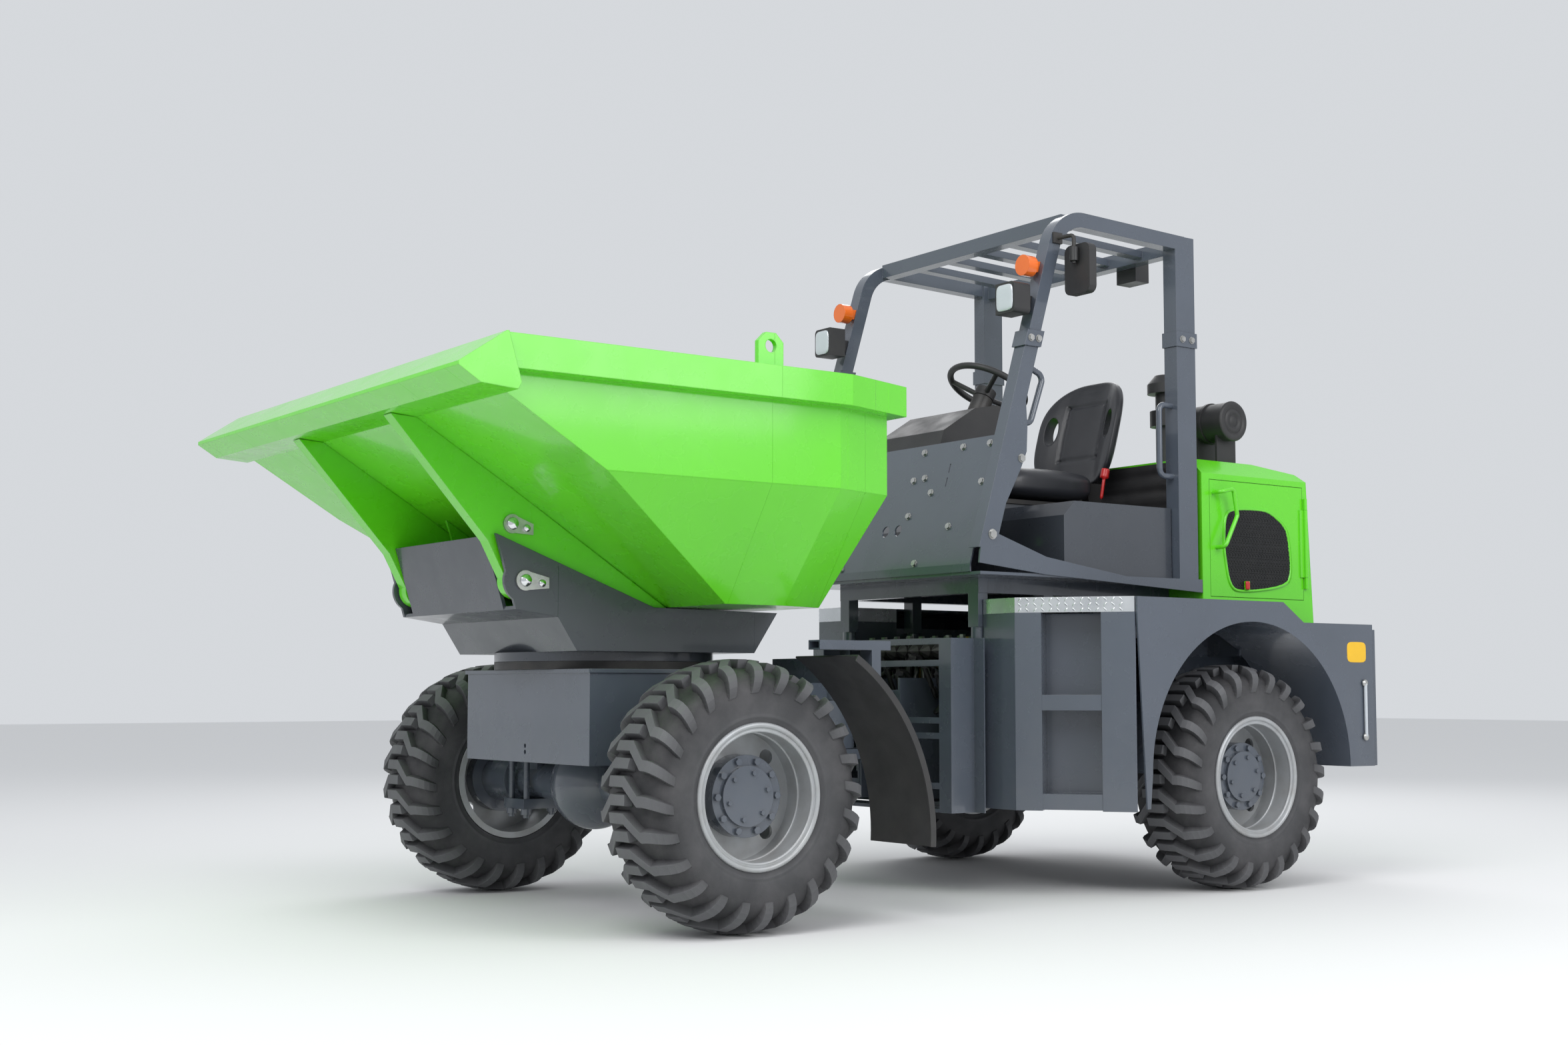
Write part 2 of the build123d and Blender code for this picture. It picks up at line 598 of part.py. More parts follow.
with BuildPart() as engine:
    block(engine_x, engine_y, (rear_rail_bottom + 96, 1240))
    fillet(engine.edges().filter_by(Axis.Y), 30)
    block((-150, 150), (engine_y[0] + 30, engine_y[1] - 60), (1239, 1400))
    round_bar((0, engine_y[0] - 60, 900), (0, engine_y[0] + 1, 900), 180)
    for y in (engine_y[0] + 80, engine_y[1] - 80):
        block((1 - inner, inner - 1), (y - 25, y + 25), (rear_rail_bottom + 97, rear_rail_bottom + 130))
    block((-300, 300), (engine_y[1] + 20, engine_y[1] + 90), (700, 1500))
    block((-60, 60), (engine_y[1] - 1, engine_y[1] + 21), (1000, 1100))
save(engine, "engine")

# ---------------------------------------------------------------- operator's platform
floor_z = 1240.0
floor_thickness = 12.0
floor_front = joint_y + 245
hood_front = rear_axle_y + 108
floor_rear = hood_front - 2
post_lean = 0.306
post_y_at_panel = joint_y + 406
panel_top = 1797.0
panel_bottom = 1283.0
front_post_half = 36.0
front_post_inner = 580.0
rear_post_inner = 570.0
rear_post_y = (hood_front - 140, hood_front - 27)
plate_inner = cab_half_width - sheet
clamp_low = 2150.0
clamp_high = 2215.0
rear_clamp = (2240.0, 2303.0)
mount_x = rail_half_width - 32


def post_centre(z):
    """Y of the leaning front post's middle at a height."""
    return post_y_at_panel + post_lean * (z - 1795)


def leaning(z_low, z_high, half):
    """The side outline of a length of the front post."""
    return [(post_centre(z_low) - half, z_low), (post_centre(z_low) + half, z_low),
            (post_centre(z_high) + half, z_high), (post_centre(z_high) - half, z_high)]


with BuildPart() as platform:
    block((-plate_inner, plate_inner), (floor_front, floor_rear), (floor_z, floor_z + floor_thickness))
    for x in (-mount_x, mount_x):
        block((x - 30, x + 30), (cage_rear, floor_rear), (floor_z - 60, floor_z + 1))
    for y in (cage_rear, floor_rear - 100):
        block((-rail_half_width, rail_half_width), (y, y + 50), (floor_z - 60, floor_z + 1))
    for side in both_sides:
        for y in (cage_rear, fender_front + 40, floor_rear - 100):
            block(span(side, mount_x - 30, mount_x + 30), (y, y + 50), (rail_top + 45, floor_z - 59))
            round_bar((side * mount_x, y + 25, rail_top),
                      (side * mount_x, y + 25, rail_top + 45), 28)
save(platform, "platform")

panel_plane_y = joint_y - 155
with BuildPart() as front_panel:
    plate_x([(panel_plane_y + post_lean * panel_bottom, panel_bottom),
             (panel_plane_y + post_lean * panel_top, panel_top),
             (panel_plane_y + post_lean * panel_top + 90, panel_top),
             (panel_plane_y + post_lean * panel_top + 90, panel_top - 6),
             (panel_plane_y + post_lean * (panel_top - 6) + 7, panel_top - 6),
             (panel_plane_y + post_lean * panel_bottom + 7, panel_bottom)],
            (-front_post_inner + seat_gap, front_post_inner - seat_gap))
    front = panel_plane_y + post_lean * panel_bottom
    block((-front_post_inner + seat_gap, front_post_inner - seat_gap), (front, front + 7),
          (floor_z + floor_thickness, panel_bottom + 1))
    for x in (80.0, 0.0):
        round_bar((x, front, 1445), (x, front + 160, 1445), 22, mode=Mode.SUBTRACT)
    for z in (1627.0, 1684.0):
        block((316, 324), (panel_plane_y + 300, panel_plane_y + 700), (z - 18, z + 18),
              mode=Mode.SUBTRACT)
save(front_panel, "front_panel")

with BuildPart() as rops_lower:
    for side in both_sides:
        foot = floor_z + 43
        plate_x([(post_centre(foot) - front_post_half + 20, foot), (post_centre(1400) - front_post_half, 1400),
                 (post_centre(1935) - front_post_half, 1935), (joint_y + 482, 1935), (joint_y + 489, 1826),
                 (joint_y + 484, 1729), (joint_y + 450, 1655), (joint_y + 373, 1518), (joint_y + 335, 1397),
                 (joint_y + 585, 1319), (joint_y + 1033, floor_z + 18), (floor_rear, floor_z + 20),
                 (floor_rear, floor_z - 35), (joint_y + 584, floor_z + 9)],
                span(side, plate_inner, cab_half_width))
        plate_x(leaning(foot + 60, clamp_low, front_post_half), span(side, front_post_inner, cab_half_width))
        block(span(side, rear_post_inner, cab_half_width), rear_post_y, (floor_z + floor_thickness, rear_clamp[0]))
        bent_bar([(side * 600, post_centre(2090), 2090), (side * 600, post_centre(2044) + 130, 2044),
                  (side * 600, post_centre(1847) + 117, 1847), (side * 600, post_centre(1862), 1862)], 30, 12.5)
        bent_bar([(side * 605, rear_post_y[0] + 10, 1990), (side * 605, rear_post_y[0] - 75, 1990),
                  (side * 605, rear_post_y[0] - 75, 1690), (side * 605, rear_post_y[0] + 10, 1690)], 30, 12.5)
save(rops_lower, "rops_lower")

roof_front_z = 2700.0
roof_rear_z = 2684.0
roof_tube = 60.0
bend_y = post_centre(roof_front_z)
rear_post_mid = (rear_post_y[0] + rear_post_y[1]) / 2
with BuildPart() as rops_upper:
    for side in both_sides:
        plate_x(leaning(clamp_low, clamp_high, front_post_half + 8), span(side, front_post_inner - 8, cab_half_width + 8))
        tube_x = span(side, front_post_inner, cab_half_width)
        with BuildSketch(Plane.YZ.offset(tube_x[0])):
            with BuildLine():
                FilletPolyline((post_centre(clamp_high - 5), clamp_high - 5), (bend_y, roof_front_z),
                               (rear_post_mid, roof_rear_z), radius=170)
            trace(line_width=roof_tube)
        extrude(amount=tube_x[1] - tube_x[0])
        block(span(side, rear_post_inner - 6, cab_half_width + 6), (rear_post_y[0] - 6, rear_post_y[1] + 6),
              rear_clamp)
        block(span(side, rear_post_inner, cab_half_width), rear_post_y, (rear_clamp[1] - 1, rops_top - 17))
    block((-front_post_inner - 1, front_post_inner + 1), (bend_y + 55, bend_y + 115), (roof_front_z - 35, roof_front_z + 25))
    block((-front_post_inner - 1, front_post_inner + 1), (rear_post_mid - 30, rear_post_mid + 30),
          (roof_rear_z - 40, roof_rear_z + 20))
    for x in (-400, -200, 0, 200, 400):
        plate_x([(bend_y + 110, roof_front_z - 24), (bend_y + 110, roof_front_z + 6),
                 (rear_post_mid - 25, roof_rear_z + 6), (rear_post_mid - 25, roof_rear_z - 24)], (x - 25, x + 25))
save(rops_upper, "rops_upper")

with BuildPart() as bolts:
    for side in both_sides:
        for z in (clamp_low + 32,):
            for offset in (-20, 20):
                bolt_head((side * (cab_half_width + 8), post_centre(z) + offset, z), (side, 0, 0), 22)
        for offset in (-28, 28):
            z = (rear_clamp[0] + rear_clamp[1]) / 2
            bolt_head((side * (cab_half_width + 6), rear_post_mid + offset, z), (side, 0, 0), 22)
        bolt_head((side * cab_half_width, joint_y + 455, 1700), (side, 0, 0), 26)
        bolt_head((side * cab_half_width, joint_y + 300, 1395), (side, 0, 0), 30)
    facing = (0, -cos(atan2(post_lean, 1)), sin(atan2(post_lean, 1)))
    for x, z in ((540, 1765), (380, 1765), (140, 1765), (-130, 1765), (-380, 1765), (-540, 1765),
                 (540, 1610), (-540, 1610), (240, 1590), (110, 1650), (180, 1655), (130, 1500),
                 (400, 1440), (-400, 1440), (240, 1300), (-240, 1300), (-500, 1300)):
        bolt_head((x, panel_plane_y + post_lean * z, z), facing, 22)
save(bolts, "frame_bolts")

wheel_centre = (0.0, joint_y + 853, 2098.0)
wheel_tilt = radians(28)
column_out = Vector(0, sin(wheel_tilt), cos(wheel_tilt))
steer_rim_radius = 184.0
column_foot = Vector(*wheel_centre) - column_out * 460
with BuildPart() as cowl:
    cowl_y = panel_plane_y + post_lean * panel_top + 10
    plate_x([(cowl_y, panel_top), (cowl_y + 20, panel_top + 60), (cowl_y + 190, panel_top + 165),
             (cowl_y + 330, panel_top + 190), (cowl_y + 380, panel_top + 60), (cowl_y + 380, panel_top - 50),
             (cowl_y + 80.5, panel_top - 50), (cowl_y + 80.5, panel_top)], (-210, 210))
    fillet(cowl.edges().group_by(Axis.Z)[-1], 22)
    column_end = Vector(*wheel_centre) - column_out * 40
    round_bar(column_foot, column_end, 46, mode=Mode.SUBTRACT)
save(cowl, "dash_cowl")

with BuildPart() as column:
    tip = Vector(*wheel_centre) - column_out * 58
    round_bar(column_foot, tip, 34)
    neck = Vector(*wheel_centre) - column_out * 150
    round_bar(neck, tip, 44)
    round_bar((tip - column_out), (tip + column_out * 34), 12)
    plate_x([(column_foot.Y - 60, floor_z + floor_thickness), (column_foot.Y + 40, floor_z + floor_thickness),
             (column_foot.Y + 25, column_foot.Z + 35), (column_foot.Y - 40, column_foot.Z + 35)], (-70, 70))
save(column, "steering_column")

with BuildPart() as steering_wheel:
    with Locations(Location(Plane(origin=wheel_centre, x_dir=(1, 0, 0), z_dir=column_out))):
        Torus(steer_rim_radius - 14, 14)
    boss_low = Vector(*wheel_centre) - column_out * 56
    round_bar(boss_low, (boss_low + column_out * 40), 46)
    round_bar((boss_low - column_out), (boss_low + column_out * 34.5), 12 + running_gap,
              mode=Mode.SUBTRACT)
    flat = Plane(origin=wheel_centre, x_dir=(1, 0, 0), z_dir=column_out)
    for angle in (90, 210, 330):
        start = flat.from_local_coords((38 * cos(radians(angle)), 38 * sin(radians(angle)), -38))
        end = flat.from_local_coords(((steer_rim_radius - 16) * cos(radians(angle)),
                                      (steer_rim_radius - 16) * sin(radians(angle)), 0))
        round_bar(Vector(start), Vector(end), 11)
save(steering_wheel, "steering_wheel")

# ---------------------------------------------------------------- controls
lever = (-330.0, joint_y + 590, floor_z + 50)
lever_pin_radius = 8.0
pedal_z = floor_z + 60
pedal_y = joint_y + 440
pedals = [("accelerator_pedal", -210.0, 55.0), ("brake_pedal", 190.0, 90.0)]

with BuildPart() as lever_bracket:
    for side in both_sides:
        x = lever[0] + side * 18
        block((x - 4, x + 4), (lever[1] - 25, lever[1] + 25), (floor_z + floor_thickness, lever[2] + 20))
        block((lever[0] - 22, lever[0] + 22), (lever[1] - 25, lever[1] + 25),
              (floor_z + floor_thickness, floor_z + floor_thickness + 6))
    round_bar((lever[0] - 23, lever[1], lever[2]), (lever[0] + 23, lever[1], lever[2]),
              lever_pin_radius + running_gap, mode=Mode.SUBTRACT)
    for name, x, width in pedals:
        for side in both_sides:
            cheek = x + side * 24
            block((cheek - 4, cheek + 4), (pedal_y - 20, pedal_y + 20),
                  (floor_z + floor_thickness, pedal_z + 18))
        block((x - 28, x + 28), (pedal_y - 20, pedal_y + 20), (floor_z + floor_thickness, floor_z + floor_thickness + 6))
        round_bar((x - 29, pedal_y, pedal_z), (x + 29, pedal_y, pedal_z), lever_pin_radius + running_gap,
                  mode=Mode.SUBTRACT)
save(lever_bracket, "control_brackets")

with BuildPart() as gear_lever:
    disc_x(lever[1:], 18, (lever[0] - 13, lever[0] + 13))
    disc_x(lever[1:], lever_pin_radius, (lever[0] - 22, lever[0] + 22))
    knob = (lever[0], lever[1] + 20, lever[2] + 360)
    round_bar(lever, knob, 8)
    with Locations(knob):
        Sphere(25)
save(gear_lever, "gear_lever")

for name, x, width in pedals:
    with BuildPart() as pedal:
        disc_x((pedal_y, pedal_z), 16, (x - 19, x + 19))
        disc_x((pedal_y, pedal_z), lever_pin_radius, (x - 28, x + 28))
        plate_x([(pedal_y - 8, pedal_z), (pedal_y + 8, pedal_z), (pedal_y + 8, pedal_z + 90),
                 (pedal_y - 8, pedal_z + 90)], (x - 9, x + 9))
        plate_x([(pedal_y - 20, pedal_z + 60), (pedal_y + 10, pedal_z + 88), (pedal_y + 2, pedal_z + 98),
                 (pedal_y - 70, pedal_z + 150), (pedal_y - 78, pedal_z + 138), (pedal_y - 12, pedal_z + 84)],
                (x - width / 2, x + width / 2))
    save(pedal, name)

# ---------------------------------------------------------------- lamps and mirror
lamp_z = (2275.0, 2398.0)
lamp_x = 600.0
indicator_z = 2480.0
mirror_x = 722.0
mirror_pin_y = post_centre(2467) + 60
mirror_pin_radius = 8.0
mirror_z = (2367.0, 2567.0)


def tube_front(z):
    """Y of the upper front post's forward face at a height."""
    return post_centre(z) - roof_tube / 2 / cos(atan2(post_lean, 1))


with BuildPart() as lamps:
    for side in both_sides:
        front_y = post_centre(2335) - 160
        block((side * lamp_x - 55, side * lamp_x + 55), (front_y, front_y + 85), lamp_z)
        fillet(lamps.edges().filter_by(Axis.Y).group_by(Axis.X)[-1 if side > 0 else 0], 18)
        plate_x([(front_y + 84, lamp_z[0] + 30), (tube_front(lamp_z[0] + 30), lamp_z[0] + 30),
                 (tube_front(lamp_z[1] - 40), lamp_z[1] - 40), (front_y + 84, lamp_z[1] - 40)],
                (side * lamp_x - 12, side * lamp_x + 12))
    rear_face = rear_post_mid + 30
    block((205, 320), (rear_face + 8, rear_face + 90), (roof_rear_z - 98, roof_rear_z + 8))
    block((240, 285), (rear_face, rear_face + 9), (roof_rear_z - 40, roof_rear_z - 5))
save(lamps, "work_lamps")

with BuildPart() as indicators:
    for side in both_sides:
        x = side * lamp_x
        round_bar((x, post_centre(indicator_z) - 110, indicator_z), (x, post_centre(indicator_z) - 62, indicator_z), 42)
        plate_x([(post_centre(indicator_z) - 63, indicator_z - 22), (tube_front(indicator_z - 22), indicator_z - 22),
                 (tube_front(indicator_z + 22), indicator_z + 22), (post_centre(indicator_z) - 63, indicator_z + 22)],
                (x - 15, x + 15))
save(indicators, "indicators")

with BuildPart() as mirror_arm:
    arm_top = mirror_z[1] + 35
    bent_bar([(cab_half_width + 3, post_centre(arm_top) + 5, arm_top), (mirror_x, mirror_pin_y, arm_top),
              (mirror_x, mirror_pin_y, mirror_z[1] - 80)], 16, mirror_pin_radius)
    block((cab_half_width, cab_half_width + 8), (post_centre(arm_top) - 20, post_centre(arm_top) + 28),
          (arm_top - 22, arm_top + 22))
save(mirror_arm, "mirror_arm")

with BuildPart() as mirror:
    block((mirror_x - 70, mirror_x + 70), (mirror_pin_y + 16, mirror_pin_y + 54), mirror_z)
    fillet(mirror.edges().filter_by(Axis.Y), 30)
    round_bar((mirror_x, mirror_pin_y, mirror_z[1] - 70), (mirror_x, mirror_pin_y, mirror_z[1] - 15), 18)
    round_bar((mirror_x, mirror_pin_y, mirror_z[1] - 71), (mirror_x, mirror_pin_y, mirror_z[1] - 14),
              mirror_pin_radius + running_gap, mode=Mode.SUBTRACT)
save(mirror, "mirror_left")

# ---------------------------------------------------------------- seat
seat_box_half = 600.0
seat_box_y = (hood_front - 765, hood_front - 145)
seat_box_top = 1556.0
rail_height = 24.5
slide_gap = 0.5
soft_gap = 0.3
cushion_y = (hood_front - 725, hood_front - 195)
cushion_half = 235.0
cushion_z = (1600.0, 1740.0)
back_half = 240.0
back_z = (1700.0, 2180.0)
back_bottom = (hood_front - 173, hood_front - 85)
back_top = (hood_front - 33, hood_front + 47)

with BuildPart() as seat_box:
    foot = floor_z + floor_thickness
    plate_x([(seat_box_y[0], foot), (seat_box_y[0], seat_box_top - 60), (seat_box_y[0] + 60, seat_box_top),
             (seat_box_y[1], seat_box_top), (seat_box_y[1], foot)], (-seat_box_half, seat_box_half))
    plate_x([(seat_box_y[0] + 5, foot - 1), (seat_box_y[0] + 5, seat_box_top - 62),
             (seat_box_y[0] + 62, seat_box_top - 5), (seat_box_y[1] - 5, seat_box_top - 5),
             (seat_box_y[1] - 5, foot - 1)], (-seat_box_half + 5, seat_box_half - 5), mode=Mode.SUBTRACT)
    for side in both_sides:
        block(span(side, 130, 170), (cushion_y[0] + 30, seat_box_y[1] - 10), (seat_box_top - 1, seat_box_top + rail_height))
save(seat_box, "seat_box")

with BuildPart() as seat_base:
    slider_z = (seat_box_top + rail_height + slide_gap, cushion_z[0])
    block((-180, 180), (cushion_y[0] + 30, back_bottom[1] - 15), slider_z)
    for side in both_sides:
        block(span(side, 110, 150), (cushion_y[1] + 15, back_bottom[1] - 15), (cushion_z[0] - 1, back_z[0]))
save(seat_base, "seat_base")

with BuildPart() as cushion:
    low = cushion_z[0] + soft_gap
    plate_x([(cushion_y[0] + 20, low), (cushion_y[0], low + 50), (cushion_y[0] + 30, cushion_z[1] - 15),
             (cushion_y[0] + 90, cushion_z[1]), (cushion_y[1], cushion_z[1] - 35), (cushion_y[1], low)],
            (-cushion_half, cushion_half))
    fillet(cushion.edges().filter_by(Axis.Z), 40)
save(cushion, "seat_cushion")

with BuildPart() as seat_back:
    low = back_z[0] + soft_gap
    plate_x([(back_bottom[0], low), (back_bottom[1], low), (back_top[1], back_z[1]), (back_top[0], back_z[1])],
            (-back_half, back_half))
    with BuildSketch(Plane.XZ.offset(-back_top[1] - 20)):
        with Locations((0, back_z[1] - 85)):
            SlotOverall(180, 56)
    extrude(amount=220, mode=Mode.SUBTRACT)
    for side in both_sides:
        corner = [(side * (back_half - 70), back_z[1] + 1), (side * (back_half + 1), back_z[1] + 1),
                  (side * (back_half + 1), back_z[1] - 110)]
        plate_y(corner, (back_bottom[0] - 50, back_top[1] + 50), mode=Mode.SUBTRACT)
save(seat_back, "seat_back")

# ---------------------------------------------------------------- hood and service doors
hood_rear = rear_axle_y + 823
hood_flat_end = rear_axle_y + 508
hood_wall = 6.0
hood_shoulder = (70.0, 67.0)
door_y = (rear_axle_y + 155, rear_axle_y + 760)
door_z = (1190.0, 1690.0)
door_gap = 2.0
door_sheet = 4.0
hinge_pin_radius = 5.0
hinge_barrel_radius = 9.0
hinge_x = hood_half_width + hinge_barrel_radius + 1
hinge_y = door_y[1] + 8
hinge_lugs = ((1240.0, 1290.0), (1590.0, 1640.0))


def hood_body(inset, drop):
    """The hood's outer shape taken in by an inset, with its open foot carried down by a drop."""
    top = hood_top - 1 - inset
    half = hood_half_width - inset
    with BuildPart() as body:
        plate_x([(hood_front + inset, deck_top - drop), (fender_slope[0], deck_top - drop),
                 (fender_slope[1], rear_deck_top - drop), (hood_rear - inset, rear_deck_top - drop),
                 (hood_rear - 37 - inset, top - 66), (hood_rear - 69 - inset, top - 32), (hood_flat_end, top),
                 (hood_front + inset, top)], (-half, half))
        for side in both_sides:
            cut = [(side * (half + 1), top - hood_shoulder[1] - 1), (side * (half + 1), top + 1),
                   (side * (half - hood_shoulder[0] - 1), top + 1)]
            plate_y(cut, (hood_front - 1, hood_rear + 1), mode=Mode.SUBTRACT)
    return body.part


with BuildPart() as hood:
    add(hood_body(0, 0))
    add(hood_body(hood_wall, 20), mode=Mode.SUBTRACT)
    for side in both_sides:
        block(span(side, hood_half_width - hood_wall - 2, hood_half_width + 1), door_y, door_z, mode=Mode.SUBTRACT)
        for z in hinge_lugs:
            block(span(side, hood_half_width - 1, hinge_x), (door_y[1] + 1, hinge_y + 8), z)
            round_bar((side * hinge_x, hinge_y, z[0]), (side * hinge_x, hinge_y, z[1]), 8)
        round_bar((side * hinge_x, hinge_y, hinge_lugs[0][0]), (side * hinge_x, hinge_y, hinge_lugs[1][1]),
                  hinge_pin_radius)
save(hood, "hood")

for name, side in (("service_door_left", 1), ("service_door_right", -1)):
    with BuildPart() as door:
        block(span(side, hood_half_width - door_sheet, hood_half_width),
              (door_y[0] + door_gap, door_y[1] - door_gap), (door_z[0] + door_gap, door_z[1] - door_gap))
        barrel_z = (hinge_lugs[0][1] + seat_gap, hinge_lugs[1][0] - seat_gap)
        round_bar((side * hinge_x, hinge_y, barrel_z[0]), (side * hinge_x, hinge_y, barrel_z[1]), hinge_barrel_radius)
        block(span(side, hood_half_width - 1, hinge_x - 4), (door_y[1] - 25, door_y[1] - door_gap), barrel_z)
        block(span(side, hood_half_width + 1, hinge_x - 4), (door_y[1] - 5, hinge_y), barrel_z)
        round_bar((side * hinge_x, hinge_y, barrel_z[0] - 1), (side * hinge_x, hinge_y, barrel_z[1] + 1),
                  hinge_pin_radius + running_gap, mode=Mode.SUBTRACT)
        grip = side * (hood_half_width + 48)
        bent_bar([(side * (hood_half_width - 1), door_y[0] + 22, 1634), (grip, door_y[0] + 22, 1634),
                  (grip, door_y[0] + 98, 1650), (grip, door_y[0] + 120, 1537), (grip, door_y[0] + 42, 1401),
                  (side * (hood_half_width - 1), door_y[0] + 42, 1401)], 18, 9)
        block(span(side, hood_half_width - 1, hood_half_width + 12), (door_y[0] + 210, door_y[0] + 236), (1225, 1262))
    save(door, name)

# ---------------------------------------------------------------- air intake
canister_x = (390.0, 570.0)
canister_centre = (rear_axle_y + 387, 1964.0)
canister_radius = 85.0
intake_x = 290.0
intake_y = rear_axle_y + 273

with BuildPart() as air_cleaner:
    disc_x(canister_centre, canister_radius, canister_x)
    disc_x(canister_centre, canister_radius + 6, (canister_x[0] + 60, canister_x[0] + 75))
    disc_x(canister_centre, 38, (canister_x[0] - 30, canister_x[0] + 1))
    for x in (canister_x[0] + 25, canister_x[1] - 45):
        block((x, x + 10), (canister_centre[0] - 60, canister_centre[0] + 60), (hood_top - 1, canister_centre[1] - 30))
save(air_cleaner, "air_cleaner")

with BuildPart() as pre_cleaner:
    round_bar((intake_x, intake_y, hood_top - 1), (intake_x, intake_y, 2110), 45)
    round_bar((intake_x, intake_y, 1960), (intake_x, intake_y, 2030), 70)
    round_bar((intake_x, intake_y, 2107), (intake_x, intake_y, 2150), 80)
    with BuildSketch(Plane.XY.offset(2150)):
        with Locations((intake_x, intake_y)):
            Circle(80)
    extrude(amount=39, taper=40)
    duct_end = canister_x[0] - 30
    bent_bar([(intake_x, intake_y + 60, 1995), (intake_x, canister_centre[0], canister_centre[1]),
              (duct_end, *canister_centre)], 30, 36)
save(pre_cleaner, "pre_cleaner")

# ---------------------------------------------------------------- cradle
tip_pivot = (front_axle_y - 566, 1160.0)
tip_pin_radius = 30.0
rod_pin = (front_axle_y - 440, 1310.0)
rod_pin_radius = 18.0
rod_bore_radius = 32.0
keeper_pin = (front_axle_y - 604, 1349.0)
barrel_pivot = (front_axle_y + 60, 1000.0)
barrel_pin_radius = 20.0
cylinder_x = 310.0
eye_half = 42.0
rib_x = (362.0, 420.0)
cradle_plate = 15.0
cradle_low = slew_split + seat_gap
cradle_inner = cradle_half_width - cradle_plate

with BuildPart() as cradle:
    for side in both_sides:
        plate_x([(front_axle_y - 673, 1313), (front_axle_y - 596, 1064), (front_axle_y - 439, 1042),
                 (front_axle_y - 365, 929), (front_axle_y + 363, 929), (front_axle_y + 464, 1076),
                 (front_axle_y - 61, skip_floor - 2)], span(side, cradle_inner, cradle_half_width))
        disc_x(tip_pivot, 75, span(side, cradle_inner, cradle_half_width))
    block((-cradle_inner - 1, cradle_inner + 1), (front_axle_y - 365, front_axle_y + 363), (929, 945))
    with BuildSketch(Plane.XY.offset(cradle_low)):
        with Locations((0, front_axle_y)):
            Circle(slew_outer)
            Circle(slew_inner + 1 + running_gap, mode=Mode.SUBTRACT)
    extrude(amount=930 - cradle_low)
    plate_x([(front_axle_y - 365, 929), (front_axle_y - 439, 1042), (front_axle_y - 596, 1064),
             (front_axle_y - 594, 1076), (front_axle_y - 432, 1054), (front_axle_y - 355, 936)],
            (-cradle_inner - 1, cradle_inner + 1))
    plate_x([(front_axle_y - 596, 1064), (front_axle_y - 672, 1310), (front_axle_y - 660, 1310),
             (front_axle_y - 584, 1070)], (-rib_x[0] + 7, rib_x[0] - 7))
    plate_x([(front_axle_y + 363, 930), (front_axle_y + 462, 1074), (front_axle_y + 448, 1074),
             (front_axle_y + 352, 940)], (-cradle_inner - 1, cradle_inner + 1))
    for side in both_sides:
        for x in ((cylinder_x - eye_half - 15, cylinder_x - eye_half - 1), (cylinder_x + eye_half + 1, cylinder_x + eye_half + 15)):
            block(span(side, *x), (barrel_pivot[0] - 40, barrel_pivot[0] + 40), (944, barrel_pivot[1] + 35))
        disc_x(barrel_pivot, barrel_pin_radius + running_gap, span(side, 200, cylinder_x + eye_half + 16),
               mode=Mode.SUBTRACT)
        disc_x(tip_pivot, tip_pin_radius + running_gap, span(side, cradle_inner - 1, cradle_half_width + 1),
               mode=Mode.SUBTRACT)
save_panels(cradle, "cradle", cells_between([cradle_inner], [front_axle_y - 439, front_axle_y + 363], (0, 2000)))

with BuildPart() as tip_pins:
    for side in both_sides:
        disc_x(tip_pivot, tip_pin_radius, span(side, rib_x[0] - 10, cradle_half_width + 4))
        disc_x(tip_pivot, 34, span(side, cradle_half_width, cradle_half_width + 8))
        plate_x([(tip_pivot[0] + 6, tip_pivot[1] - 32), (tip_pivot[0] + 88, tip_pivot[1] - 24),
                 (tip_pivot[0] + 88, tip_pivot[1] + 12), (tip_pivot[0] + 6, tip_pivot[1] + 32)],
                span(side, cradle_half_width, cradle_half_width + 8))
        disc_x(barrel_pivot, barrel_pin_radius, span(side, cylinder_x - eye_half - 16, cylinder_x + eye_half + 16))
save(tip_pins, "tip_pins")

# ---------------------------------------------------------------- tipping cylinders
tip_run = Vector(0, rod_pin[0] - barrel_pivot[0], rod_pin[1] - barrel_pivot[1])
tip_along = tip_run.normalized()
tip_barrel_radius = 37.0
tip_barrel_length = 440.0
tip_rod_radius = 22.0


def along_tip(side, distance):
    """A point on a tipping cylinder's axis."""
    return (Vector(side * cylinder_x, *barrel_pivot) + tip_along * distance)


with BuildPart() as tip_barrels:
    for side in both_sides:
        disc_x(barrel_pivot, 36, span(side, cylinder_x - eye_half, cylinder_x + eye_half))
        round_bar(along_tip(side, 20), along_tip(side, tip_barrel_length), tip_barrel_radius)
        round_bar(along_tip(side, 60), along_tip(side, tip_barrel_length + 1), tip_rod_radius + running_gap,
                  mode=Mode.SUBTRACT)
        disc_x(barrel_pivot, barrel_pin_radius + running_gap, span(side, cylinder_x - 50, cylinder_x + 50),
               mode=Mode.SUBTRACT)
save(tip_barrels, "tip_barrels")

with BuildPart() as tip_rods:
    for side in both_sides:
        round_bar(along_tip(side, 130), along_tip(side, tip_run.length - 10), tip_rod_radius)
        disc_x(rod_pin, 41, span(side, cylinder_x - eye_half, cylinder_x + eye_half))
        disc_x(rod_pin, rod_bore_radius, span(side, cylinder_x - 50, cylinder_x + 50), mode=Mode.SUBTRACT)
save(tip_rods, "tip_rods")

# ---------------------------------------------------------------- skip
floor_plan = [(790.0, 5.0), (790.0, 245.0), (723.0, 446.0)]
kink_plan = [(skip_half_width, -605.0), (skip_half_width, 296.0), (skip_half_width - 90, 566.0)]
slope_end = (-951.0, 1679.0)
side_front = -991.0
rim_low = 1745.0
rim_overhang = 56.0
lip_half = 1125.0
eye_y = (-50.0, 50.0)
eye_top = 1964.0
eye_hole_radius = 22.0


